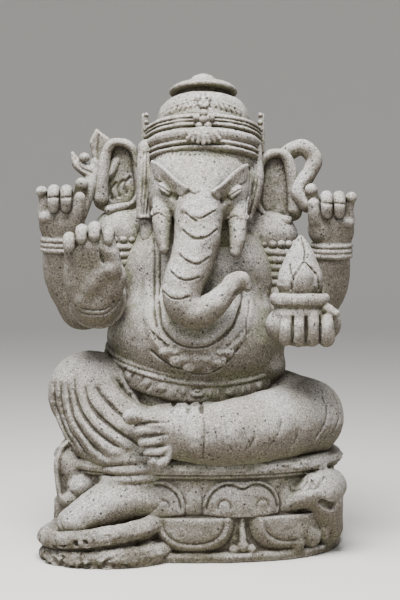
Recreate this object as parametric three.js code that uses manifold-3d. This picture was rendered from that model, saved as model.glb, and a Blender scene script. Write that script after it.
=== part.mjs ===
// Seated four-armed elephant-headed figure on a lotus throne, carved from one block of grey
// volcanic stone. Millimetres, +Z up. The figure faces -Y. "Right" and "left" are the figure's own,
// so its right side is at -X. The origin is the middle of the throne's underside.
import * as THREE from "three";
import { mergeVertices } from "three/addons/utils/BufferGeometryUtils.js";
import Module from "manifold-3d";

const wasm = await Module();
wasm.setup();

// Driving dimensions.
const HEIGHT = 800; // underside to the knob of the crown
const THRONE_HALF = [246, 182]; // half width and half depth of the throne at its fullest
const THRONE_TOP = 166; // seat surface
const PAD_TOP = 70; // surface that the right foot rests on
const ELBOW_Z = 405; // all four elbows
const WRIST_Z = [513, 503]; // raised rear wrists, right and left
const WRIST_X = [232, 227]; // and their distance from the middle
const CROWN_RADIUS = 103;
const CROWN_TILT = 13; // degrees that the crown leans back
const FACE_X = 3; // the face is carved a little to the figure's left of the middle

const STONE = new THREE.MeshStandardMaterial({ color: 0x9a948a, roughness: 0.95, metalness: 0 });

const RAD = Math.PI / 180;
const vec = (p) => new THREE.Vector3(...p);
const mix = (a, b, t) => a + (b - a) * t;
const turnOf = ([x, y, z]) => new THREE.Euler(x * RAD, y * RAD, z * RAD, "ZYX");

// A closed three.js geometry becomes a solid: shared vertices are merged and the collapsed
// triangles at a lathe's poles are dropped.
function solid(geometry) {
  const bare = geometry.clone();
  bare.deleteAttribute("normal");
  bare.deleteAttribute("uv");
  const merged = mergeVertices(bare, 1e-3);
  const index = merged.index.array;
  const faces = [];
  for (let i = 0; i < index.length; i += 3) {
    const [a, b, c] = [index[i], index[i + 1], index[i + 2]];
    if (a !== b && b !== c && c !== a) faces.push(a, b, c);
  }
  const vertProperties = merged.attributes.position.array;
  return new wasm.Manifold(new wasm.Mesh({ numProp: 3, vertProperties, triVerts: new Uint32Array(faces) }));
}

function placed(geometry, at, turn = [0, 0, 0], scale = [1, 1, 1]) {
  const pose = new THREE.Quaternion().setFromEuler(turnOf(turn));
  return geometry.applyMatrix4(new THREE.Matrix4().compose(vec(at), pose, vec(scale)));
}

// An ellipsoid of three radii. Small ones have few faces.
function ball(at, radii, turn = [0, 0, 0], wide = 6, high = 4) {
  return solid(placed(new THREE.SphereGeometry(1, wide, high), at, turn, radii));
}

// A turned shape about Z, from a list of [radius, height], made oval by the two scales.
function turned(profile, at, oval, sides, turn = [0, 0, 0]) {
  const outline = profile.map(([r, h]) => new THREE.Vector2(r, h));
  const lathe = new THREE.LatheGeometry(outline, sides).rotateX(Math.PI / 2);
  return solid(placed(lathe, at, turn, [...oval, 1]));
}

// The value at t, from 0 to 1, on straight lines between evenly spaced values.
function along(values, t) {
  const spot = t * (values.length - 1);
  const i = Math.min(Math.floor(spot), values.length - 2);
  return mix(values[i], values[i + 1], spot - i);
}

// A limb that follows a smooth curve through the points, with evenly spaced radii and a rounded
// tip, or a blunt one where it is slight. Its root is pointed, to be buried in what carries it,
// unless it is bare. flat = [x, y, z, by] presses its section along that direction.
// folds = [depth, twist] flutes it with cloth folds that wind round it by twist radians.
function limb(points, radii, options = {}) {
  const { sides = 6, rings = points.length - 1, bare = false, flat = [0, 0, 1, 1], folds = [0, 0] } = options;
  const curve = new THREE.CatmullRomCurve3(points.map(vec), false, "centripetal");
  const station = (t, by = 1, reach = 0) => {
    const r = along(radii, t);
    return { t, r: r * by, out: reach * r * Math.sqrt(1 - by * by) };
  };
  const body = Array.from({ length: rings + 1 }, (_, i) => station(i / rings));
  const root = bare ? [station(0, 0, -1), station(0, 0.75, -1)] : [station(0, 0, -1)];
  const tip = sides < 6 ? [station(1, 0, 0.5)] : [station(1, 0.75, 1), station(1, 0, 1)];
  const stations = [...root, ...body, ...tip];
  const lathe = new THREE.LatheGeometry(
    stations.map((s, i) => new THREE.Vector2(s.r, i)),
    sides,
  );
  let side = new THREE.Vector3(0.31, -0.77, 0.55);
  const frames = stations.map((s) => {
    const tangent = curve.getTangent(s.t);
    side = side.clone().addScaledVector(tangent, -side.dot(tangent)).normalize();
    return { ...s, centre: curve.getPoint(s.t), tangent, side, over: tangent.clone().cross(side) };
  });
  const press = vec(flat).normalize();
  const position = lathe.attributes.position;
  for (let i = 0; i < position.count; i++) {
    const f = frames[Math.round(position.getY(i))];
    const flute = i % (stations.length * 2) < stations.length ? 0 : -folds[0];
    const wide = Math.hypot(position.getX(i), position.getZ(i));
    const round = Math.atan2(-position.getZ(i), position.getX(i)) + folds[1] * f.t;
    const r = Math.max(0, wide + (wide > 1 ? flute : 0));
    const off = f.side.clone().multiplyScalar(r * Math.cos(round));
    off.addScaledVector(f.over, r * Math.sin(round)).addScaledVector(f.tangent, f.out);
    off.addScaledVector(press, off.dot(press) * (flat[3] - 1));
    position.setXYZ(i, ...off.add(f.centre));
  }
  return solid(lathe);
}

// Palms and the left foot are pressed flat from the front.
const FLAT_HAND = [0, 1, 0, 0.62];

// A finger or toe.
const finger = (points, radii) => limb(points, radii, { sides: 4 });

// A closed skin of rings, one for each step from below. spot gives the place of each point, from
// its step, its turn round from the front to the figure's left, and 0 or 1 for axis or skin.
function skin(steps, sides, spot) {
  const line = [[0, 0], ...steps.map((_, i) => [1, i]), [0, steps.length - 1]];
  const lathe = new THREE.LatheGeometry(
    line.map(([r, i]) => new THREE.Vector2(r, i)),
    sides,
  );
  const position = lathe.attributes.position;
  for (let i = 0; i < position.count; i++) {
    const [x, z] = [position.getX(i), position.getZ(i)];
    const step = steps[Math.round(position.getY(i))];
    position.setXYZ(i, ...spot(step, Math.atan2(x, z) / (2 * Math.PI), Math.round(Math.hypot(x, z))));
  }
  return solid(lathe);
}

// A plate cut to a closed outline in its own XZ plane, with broken edges.
function plate(outline, thickness, at) {
  const shape = new THREE.Shape(outline.map(([x, z]) => new THREE.Vector2(x, z)));
  const bevel = Math.min(thickness / 4, 3);
  const extruded = new THREE.ExtrudeGeometry(shape, {
    depth: thickness - 2 * bevel,
    bevelThickness: bevel,
    bevelSize: bevel,
    bevelOffset: -bevel,
    bevelSegments: 1,
  });
  extruded.rotateX(Math.PI / 2).translate(0, thickness / 2 - bevel, 0);
  return solid(placed(extruded, at));
}

// Everything carved is laid here and joined into one stone at the end.
const stone = [];
const carve = (...solids) => stone.push(...solids);

// The throne is an oval double-lotus cushion. Its outline steps in by these distances at these
// heights: a low slab, petals hanging down, the waist, petals standing up, a thin rim and the seat.
const THRONE_STEPS = [
  [12, 0],
  [9, 16],
  [20, 22],
  [20, 50],
  [22, 79],
  [20, 92],
  [20, 112],
  [20, 134],
  [7, 146],
  [11, 158],
  [28, THRONE_TOP],
];
const PETALS = 8;
const LINES_PER_PETAL = 6;
const PETAL_DEPTH = 24;
const CORNER_SWELL = 10;
const CORNER_PITCHES = 1.46; // petal pitches from the middle of the front to a front corner

// A spot on the throne's side: s is the distance round from the middle of the front, in mm. The
// oval swells towards its four corners.
const ROUND = 2 * Math.PI * Math.sqrt((THRONE_HALF[0] ** 2 + THRONE_HALF[1] ** 2) / 2);
const PETAL_PITCH = ROUND / PETALS;
const THRONE_LINE = new THREE.EllipseCurve(0, 0, ...THRONE_HALF, -Math.PI / 2, 1.5 * Math.PI);
function throneSpot(s, inset, z) {
  const u = (s / ROUND + 2) % 1;
  const p = THRONE_LINE.getPointAt(u);
  const run = THRONE_LINE.getTangentAt(u);
  const out = CORNER_SWELL * (2 * (p.x / THRONE_HALF[0]) * (p.y / THRONE_HALF[1])) ** 2 - inset;
  return [p.x + out * run.y, p.y - out * run.x, z];
}

// The swell of a petal of this half width and height, at this distance from its middle.
const swell = (ds, dz, half, tall) => Math.sqrt(Math.max(0, 1 - (ds / half) ** 2 - (dz / tall) ** 2));

// Hanging petals are broad and stand over the middle of each pitch. Standing petals are a pair of
// round lobes that meet in a dip between two of them.
function petalRelief(s, z) {
  const ds = s - Math.round(s / PETAL_PITCH) * PETAL_PITCH;
  if (z < 30 || z > 140) return 0;
  if (z < 80) return PETAL_DEPTH * swell(ds, z - 50, 76, 36);
  const fromDip = PETAL_PITCH / 2 - Math.abs(ds);
  return PETAL_DEPTH * swell(fromDip - 36, z - 108, 42, 34);
}

// The scrolled leaf head at a front corner of the throne. rise lifts it.
function cornerScroll(way, rise) {
  const at = (ds, inset, z) => throneSpot(way * (PETAL_PITCH * CORNER_PITCHES + ds), inset, z + rise);
  carve(
    limb([at(-32, 8, 98), at(2, 3, 118), at(34, 8, 114)], [18, 23, 20], { sides: 5 }),
    limb([at(24, 6, 120), at(30, 8, 74), at(28, 14, 28)], [17, 18, 18], { sides: 5 }),
  );
}

function throne() {
  carve(
    skin(THRONE_STEPS, PETALS * LINES_PER_PETAL, ([inset, z], turn, onSkin) => {
      const s = turn * ROUND;
      return onSkin ? throneSpot(s, inset - petalRelief(s, z), z) : [0, 0, z];
    }),
  );
  cornerScroll(-1, 34);
  cornerScroll(1, 0);
}

// The pad under the right foot: a rough low slab and a cushion above it, joined to the throne.
function footPad() {
  const outline = [
    [0, 0],
    [107, 0],
    [116, 12],
    [107, 34],
    [102, 38],
    [111, 54],
    [99, 67],
    [84, PAD_TOP - 5],
    [0, PAD_TOP - 5],
  ];
  carve(turned(outline, [-142, -128, 0], [1, 0.83], 16, [0, 0, 8]));
}

// The right leg: knee raised, shin down to the pad, foot turned outwards.
const RIGHT_KNEE = [-183, -60, 262];
function rightLeg() {
  carve(
    limb([[-60, 0, 236], [-122, -26, 252], RIGHT_KNEE], [66, 71, 68], { sides: 9 }),
    limb([RIGHT_KNEE, [-156, -88, 216], [-126, -112, 178], [-100, -124, 140]], [69, 73, 71, 60], {
      sides: 14,
      rings: 5,
      bare: true,
      folds: [11, -0.9],
    }),
    // Anklets between the hem and the foot.
    limb([[-104, -123, 156], [-101, -121, 112]], [58, 64, 57, 62, 55], { sides: 8, rings: 4 }),
    limb([[-70, -120, 100], [-118, -140, 104], [-166, -160, 92], [-208, -172, 82]], [50, 48, 38, 27], {
      sides: 8,
      flat: [0, 0, 1, 0.85],
    }),
  );
}

// The left leg: folded flat across the seat, the shin level, the foot against the right shin.
const LEFT_KNEE = [179, -50, 219];
function leftLeg() {
  carve(
    limb([[60, 0, 232], [126, -14, 231], LEFT_KNEE], [66, 67, 64], { sides: 9 }),
    // The shin, with two thin bands at the hem above the ankle.
    limb(
      [LEFT_KNEE, [122, -116, 213], [50, -158, 207], [8, -165, 205]],
      [64, 60, 56, 51, 54, 49, 53, 46],
      { sides: 9, rings: 7, bare: true },
    ),
    limb([[14, -166, 205], [-22, -172, 208], [-46, -176, 210]], [46, 45, 36], { sides: 8, flat: FLAT_HAND }),
  );
  // Toes: the great toe on top, the others stepping in below it.
  const toes = [[241, -108, 13], [218, -93, 11], [199, -86, 10], [182, -79, 10], [166, -72, 9]];
  for (const [z, tip, r] of toes) {
    const root = [-44, -184, mix(z, 207, 0.12)];
    carve(finger([root, [tip + 22, -194, z], [tip + 4, -192, z]], [r, r, r * 0.9]));
  }
}

// The body: a full belly and hips over the lap, a chest behind the trunk, and broad shoulders.
const BELLY_AT = [-2, -18, 352];
const BELLY_R = [152, 133, 108];

// A spot on the belly at a height, in a direction that starts at the front and turns to its left.
function bellySpot(around, z, out) {
  const [sin, cos] = [Math.sin(around), Math.cos(around)];
  const s = Math.sqrt(Math.max(0, 1 - ((z - BELLY_AT[2]) / BELLY_R[2]) ** 2));
  return [BELLY_AT[0] + (BELLY_R[0] * s + out) * sin, BELLY_AT[1] - (BELLY_R[1] * s + out) * cos, z];
}

// The belt hangs low in front, rises at the hips and runs level behind.
function beltSpot(around, out, rise) {
  const sin = Math.sin(around);
  const height = 308 - 22 * Math.cos(around) + 11 * sin * sin - 10 * sin;
  const [x, y, z] = bellySpot(around, height, out);
  return [x, y, z + rise];
}

// Rings of the belly's skin from below. Those of the ornamented band and the roll above it say how
// far they stand out at the belt and their rise from it, and the rest say only a height.
const BELLY_STEPS = [
  { out: -40, rise: -52 },
  { out: 5, rise: -34 },
  { out: 8, rise: -12 },
  { out: -1, rise: -8 },
  { out: 9, rise: 0 },
  { out: 1, rise: 9 },
  { height: 352 },
  { height: 380 },
  { height: 408 },
  { height: 436 },
];
function torso() {
  carve(
    ball([0, -4, 236], [152, 122, 80], [0, 0, 0], 10, 4),
    skin(BELLY_STEPS, 16, ({ out, rise, height }, turn, onSkin) => {
      const around = turn * 2 * Math.PI;
      if (!onSkin) return [BELLY_AT[0], BELLY_AT[1], height ?? 308 + rise];
      return height ? bellySpot(around, height, 0) : beltSpot(around, out, rise);
    }),
    ball([0, 6, 452], [138, 96, 118], [0, 0, 0], 10, 6),
    limb([[-126, 22, 528], [0, 34, 552], [126, 22, 520]], [47, 56, 47], { sides: 8, bare: true }),
  );
  // An oval boss in the middle of the band and round ones beside it.
  const bossPitch = 0.27;
  for (let i = -2; i <= 2; i++) {
    const around = i * bossPitch;
    carve(ball(beltSpot(around, 9, -22), [i ? 10 : 17, 8, i ? 10 : 12], [0, 0, around / RAD], 5, 3));
  }
}

// Collar: a U-shaped roll on the belly with a scalloped border below it.
function collar() {
  for (const [wide, low, thick] of [[0.6, 342, 6], [0.74, 322, 8]]) {
    const points = [-1, -0.75, -0.4, 0, 0.4, 0.75, 1].map((u) =>
      bellySpot(u * wide, 412 - (412 - low) * Math.sqrt(1 - 0.98 * u * u), 0),
    );
    carve(limb(points, [thick, thick], { sides: 4, rings: 8 }));
  }
}

// Upper arm with an armlet of stacked rolls, which ends above the elbow.
function upperArm(side, shoulder, elbow) {
  carve(
    limb(
      [[side * 124, 12, shoulder], [side * 128, 16, 462], elbow],
      [42, 49, 43, 49, 43, 49, 43, 46],
      { sides: 7, rings: 7, bare: true },
    ),
    ball([side * 116, -32, shoulder - 4], [17, 12, 15], [0, 0, -side * 12], 5, 3),
  );
}

// Front right arm: forearm straight forward, the open palm stands up facing out.
const RIGHT_PALM = [-160, -152, 452];
function frontRightArm() {
  const elbow = [-154, 4, ELBOW_Z + 12];
  upperArm(-1, 524, elbow);
  carve(
    // The forearm ends in two bracelets.
    limb([elbow, [-163, -60, 418], [-164, -128, 418]], [46, 44, 42, 47, 42, 46, 38], { sides: 8, rings: 6 }),
    limb([[-164, -134, 420], RIGHT_PALM, [-163, -156, 492]], [40, 47, 42], {
      sides: 8,
      bare: true,
      flat: FLAT_HAND,
    }),
    ball([-142, -164, 436], [24, 21, 31], [0, 14, 0]),
    finger([[-134, -160, 458], [-131, -174, 486], [-130, -178, 512]], [14, 12, 10]),
  );
  // Four fingers curl forward at the top.
  for (const [x, z] of [[-206, 522], [-184, 536], [-161, 540], [-138, 533]]) {
    const rootX = mix(x, RIGHT_PALM[0], 0.25);
    carve(finger([[rootX, -156, z - 34], [x, -160, z - 6], [x, -176, z]], [13, 13, 11]));
  }
}

// Front left arm: the hand is held palm up, its fingers curled round a bowl that holds a bud.
const BOWL_AT = [165, -142];
function frontLeftArm() {
  const [bx, by] = BOWL_AT;
  const elbow = [150, 4, ELBOW_Z];
  const bowl = [[0, 382], [44, 382], [56, 400], [46, 412], [48, 424], [42, 432], [0, 432]];
  const bud = [[0, 428], [38, 430], [41, 450], [30, 486], [14, 514], [0, 530]];
  upperArm(1, 516, elbow);
  carve(
    limb([elbow, [160, -60, 394], [168, -112, 387]], [44, 42, 39], { sides: 7 }),
    limb([[142, -134, 382], [172, -138, 379], [199, -134, 383]], [32, 33, 31], { sides: 8, bare: true }),
    turned(bowl, [bx, by, 0], [1, 0.86], 10),
    turned(bud, [bx, by, 0], [1, 0.86], 8),
    // Petals of the bud.
    ball([bx + 2, by - 20, 452], [25, 18, 30], [0, 0, 0], 6, 4),
    ball([bx - 32, by - 2, 448], [13, 20, 24], [0, 0, 0], 5, 3),
    ball([bx + 32, by - 2, 450], [13, 20, 26], [0, 0, 0], 5, 3),
    finger([[190, -150, 404], [212, -160, 402], [220, -158, 392]], [9, 10, 8]),
  );
  for (const [x, top] of [[137, 386], [158, 400], [180, 406], [202, 395]]) {
    carve(finger([[x, -158, 356], [x, -178, 376], [x, -168, top]], [13, 14, 10]));
  }
}

// A rear arm, raised from an elbow close to the body, with three bracelets and a closed hand.
function rearArm(side) {
  const [wx, wz] = side < 0 ? [WRIST_X[0], WRIST_Z[0]] : [WRIST_X[1], WRIST_Z[1]];
  const at = (x, y, z) => [side * (wx + x), y, wz + z];
  const elbow = [side * 198, 20, ELBOW_Z - 2];
  carve(
    limb([[side * 112, 44, 486], [side * 156, 38, 432], elbow], [46, 42, 39]),
    limb(
      [elbow, at(-7, 4, -60), at(0, -12, -10), at(0, -16, 12)],
      [39, 38, 37, 36, 34, 39, 33, 38, 32, 37, 28],
      { sides: 7, rings: 10, bare: true },
    ),
    limb([at(0, -16, 4), at(-2, -26, 34), at(-2, -28, 58)], [30, 40, 34], { sides: 8, flat: FLAT_HAND }),
    // Little finger stands up, the next two fold down over the palm, thumb and forefinger meet.
    finger([at(26, -34, 48), at(25, -36, 74), at(28, -42, 92)], [10, 9, 10]),
    finger([at(8, -30, 66), at(7, -48, 90), at(6, -58, 58)], [11, 11, 9]),
    finger([at(-14, -30, 66), at(-14, -48, 92), at(-14, -58, 61)], [11.5, 11, 9]),
    finger([at(-20, -34, 28), at(-32, -44, 56), at(-37, -42, 86)], [16, 13, 10]),
    finger([at(-28, -26, 56), at(-34, -26, 84), at(-38, -34, 104)], [13, 12, 9.5]),
  );
}

// The rear right hand holds a trident: a leaf blade between two curled prongs.
function trident() {
  const blade = [[-2, 52], [-13, 32], [-12, 14], [-6, -6], [8, -6], [19, 24], [19, 38]];
  const sides = 4;
  carve(
    limb([[-198, -24, 566], [-183, -10, 612], [-170, 0, 656]], [15, 15, 10], { sides }),
    limb([[-162, -4, 626], [-188, -8, 636], [-204, -8, 649], [-212, -8, 668]], [13, 15, 11, 4], { sides }),
    limb([[-170, -2, 626], [-150, 2, 634], [-138, 4, 652]], [12, 13, 9], { sides }),
    ball([-193, -12, 656], [10, 10, 9], [0, 0, 0], 5, 3),
    plate(blade, 22, [-169, 2, 652]),
  );
}

// The rear left hand holds a noose: a thick rope in an open loop.
function noose() {
  const rope = [
    [146, 8, 634],
    [154, 4, 660],
    [175, 0, 674],
    [194, -2, 668],
    [199, -6, 648],
    [190, -10, 624],
    [176, -14, 602],
    [170, -18, 580],
    [186, -24, 556],
  ];
  carve(limb(rope, [14, 15], { sides: 5, rings: 9 }));
}

// The head: a broad forehead, wedge-shaped brows over narrow eyes, cheeks that run down into the
// tusks' sheaths, and the trunk curling to the figure's left.
const TRUNK = [
  [3, -56, 640],
  [2, -88, 600],
  [1, -114, 560],
  [-2, -134, 516],
  [-11, -148, 480],
  [-24, -160, 446],
  [-23, -168, 416],
  [0, -172, 403],
  [26, -170, 416],
  [44, -168, 434],
  [61, -164, 450],
];
const TRUNK_R = [50, 45, 40, 36, 34, 32, 30, 27, 21, 17, 17];
function head() {
  carve(
    ball([FACE_X, -12, 640], [92, 100, 84], [0, 0, 0], 12, 7),
    limb([[0, 20, 610], [0, 26, 540]], [84, 80], { sides: 8, rings: 1 }),
    limb(TRUNK, TRUNK_R, { sides: 8, rings: 11 }),
    // Flared lip at the tip of the trunk.
    ball([66, -162, 454], [9, 16, 18], [0, 40, 0]),
  );
  for (const side of [-1, 1]) {
    const low = side > 0 ? 5 : 0;
    const at = (x, y, z) => [FACE_X + side * x, y, z - low];
    carve(
      // Cheek, from beside the forehead down to the mouth.
      limb([at(24, -52, 640), at(30, -56, 596), at(30, -46, 540)], [62, 56, 42], { sides: 7 }),
      // Tusk.
      limb([at(62, -84, 580), at(62, -106, 540), at(57, -120, 498)], [17, 14, 7]),
      // Brow wedge and eye.
      limb([at(20, -110, 598), at(48, -106, 617), at(76, -84, 640)], [11, 14, 7], { sides: 5 }),
      limb([at(42, -108, 592), at(56, -106, 601), at(70, -94, 609)], [7, 9.5, 6], { sides: 5 }),
    );
  }
}

// An ear: a broad leaf with a thick rolled rim in front. low shifts it down.
const EAR_LEAF = [
  [102, 668],
  [120, 684],
  [145, 685],
  [161, 664],
  [168, 626],
  [174, 588],
  [170, 562],
  [146, 556],
  [112, 566],
  [96, 600],
  [94, 650],
];
const EAR_RIM = [[104, 662], [121, 678], [144, 678], [157, 662], [163, 630], [168, 596], [168, 574]];
function ear(side, low) {
  const leaf = EAR_LEAF.map(([x, z]) => [side * x, z - low]);
  if (side > 0) leaf.reverse();
  const rim = EAR_RIM.map(([x, z]) => [side * x, -5, z - low]);
  carve(plate(leaf, 24, [0, 10, 0]), limb(rim, [9, 10, 10, 12], { sides: 4 }));
}

// Straight side locks that hang from the crown beside the face.
function sideLocks() {
  for (const side of [-1, 1]) {
    carve(plate([[-9, 0], [9, 0], [8, 124], [-8, 124]], 40, [FACE_X + side * 90, -26, 552]));
  }
}

// The crown leans back. Its own origin is the middle of its lower edge. From below, its outline
// runs over a roll, a wide band, three rolls, the dome and the cap with its knob.
const CROWN_AT = [9, 0, 668];
const CROWN_LEAN = [-CROWN_TILT, 0, 0];
const CROWN_TOP = (HEIGHT - CROWN_AT[2]) / Math.cos(CROWN_TILT * RAD);
const CROWN_PROFILE = [
  [0, -24],
  [CROWN_RADIUS - 8, -24],
  [CROWN_RADIUS - 4, 0],
  [CROWN_RADIUS, 8],
  [CROWN_RADIUS - 4, 17],
  [CROWN_RADIUS - 8, 38],
  [CROWN_RADIUS - 5, 44],
  [CROWN_RADIUS - 13, 50],
  [CROWN_RADIUS - 10, 56],
  [CROWN_RADIUS - 18, 63],
  [CROWN_RADIUS - 16, 68],
  [79, 73],
  [75, 86],
  [61, 99],
  [50, 102],
  [57, 109],
  [33, 121],
  [20, 130],
  [0, CROWN_TOP],
];
function crown() {
  carve(turned(CROWN_PROFILE, CROWN_AT, [1, 0.97], 16, CROWN_LEAN));
  const at = (x, y, z) => vec([x, y, z]).applyEuler(turnOf(CROWN_LEAN)).add(vec(CROWN_AT)).toArray();
  // Flower over a leafy foot in front, and a fan of leaves on the dome above it.
  carve(
    ball(at(0, -94, 52), [17, 12, 16], CROWN_LEAN),
    ball(at(0, -98, 24), [27, 12, 14], CROWN_LEAN),
    ball(at(0, -75, 82), [15, 9, 20], CROWN_LEAN, 5, 4),
  );
  for (const side of [-1, 1]) {
    // Upright side crest.
    const x = CROWN_AT[0] + side * 101;
    carve(
      ball(at(side * 22, -72, 80), [15, 8, 11], [-CROWN_TILT, side * 30, 0], 5, 4),
      plate([[-5, 0], [5, 0], [5, 68], [-5, 68]], 50, [x, 32, 662]),
    );
  }
}

// Pleats of the cloth fan out on the lap below the belt.
function lapPleats() {
  const pleats = 4;
  for (let i = 0; i < pleats; i++) {
    const f = i / (pleats - 1);
    carve(limb([[mix(-52, 8, f), -118, 264], [mix(-84, 10, f), -150, 250]], [10, 12], { sides: 5 }));
  }
}

// The back is plainer: a tail of hair down from the crown and the end of the sash.
function back() {
  const pressed = { flat: [0, 1, 0, 0.5] };
  carve(
    limb([[4, 72, 676], [2, 92, 600], [0, 94, 490]], [46, 38, 20], pressed),
    limb([[0, 104, 322], [-4, 118, 190]], [18, 32], pressed),
  );
}

throne();
footPad();
torso();
collar();
rightLeg();
leftLeg();
lapPleats();
frontRightArm();
frontLeftArm();
rearArm(-1);
trident();
rearArm(1);
noose();
head();
ear(-1, -6);
ear(1, 13);
sideLocks();
crown();
back();

// One stone: the joined skin, without the voids that its rounded pieces close in between them.
const [joined] = wasm.Manifold.union(stone)
  .decompose()
  .sort((a, b) => b.volume() - a.volume());
const { vertProperties, triVerts, numProp } = joined.getMesh();
const positions = new Float32Array(triVerts.length * 3);
triVerts.forEach((v, i) => {
  for (let k = 0; k < 3; k++) positions[3 * i + k] = vertProperties[v * numProp + k];
});
const geometry = new THREE.BufferGeometry();
geometry.setAttribute("position", new THREE.BufferAttribute(positions, 3));
geometry.computeVertexNormals();

const figure = new THREE.Mesh(geometry, STONE);
figure.name = "ganesha_figure";

const group = new THREE.Group();
group.add(figure);
export default group;
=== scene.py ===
# Seated four-armed elephant-headed figure on a lotus throne, carved from one block of grey
# volcanic stone. Right and left are the figure's own, so its right side is at -X. The carving is
# laid out in millimetres, as in the solid, and turned to metres where a mesh is made of it.
import math
from collections import namedtuple

import bpy
import numpy as np
import openvdb as vdb
from mathutils import Euler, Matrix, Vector


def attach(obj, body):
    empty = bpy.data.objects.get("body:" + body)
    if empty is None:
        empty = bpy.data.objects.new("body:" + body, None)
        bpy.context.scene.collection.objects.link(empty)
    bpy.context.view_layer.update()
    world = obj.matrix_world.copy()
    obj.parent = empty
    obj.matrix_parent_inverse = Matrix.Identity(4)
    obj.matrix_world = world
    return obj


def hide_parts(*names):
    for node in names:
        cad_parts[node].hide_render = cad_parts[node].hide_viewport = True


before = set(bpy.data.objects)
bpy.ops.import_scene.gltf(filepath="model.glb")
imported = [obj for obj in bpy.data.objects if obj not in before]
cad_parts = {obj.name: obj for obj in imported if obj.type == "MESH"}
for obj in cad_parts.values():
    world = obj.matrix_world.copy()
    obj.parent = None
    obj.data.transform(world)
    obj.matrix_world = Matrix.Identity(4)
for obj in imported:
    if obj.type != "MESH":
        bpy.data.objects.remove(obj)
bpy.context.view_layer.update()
FIGURE = "ganesha_figure"

# The throne: a low slab and an oval cushion with one row of petals hanging down and one standing
# up, under a rounded seat. It is carved from the same block as the figure, and the stone, the
# carver's cuts and the weathered surface that all pieces share are set here.
MM = 0.001
FAR = 1000.0  # distance in mm given to a grid before anything is in it
NEARBY = 40.0  # distances in mm that a surface's slope is read from
ROOM = 12  # mm round a bar where its distances are worked out, for the blends with other shapes
Shape = namedtuple("Shape", "low high distance")
VIEWS = {"front": (1, 1), "back": (1, -1), "right": (0, 1), "left": (0, -1), "top": (2, -1)}


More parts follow.
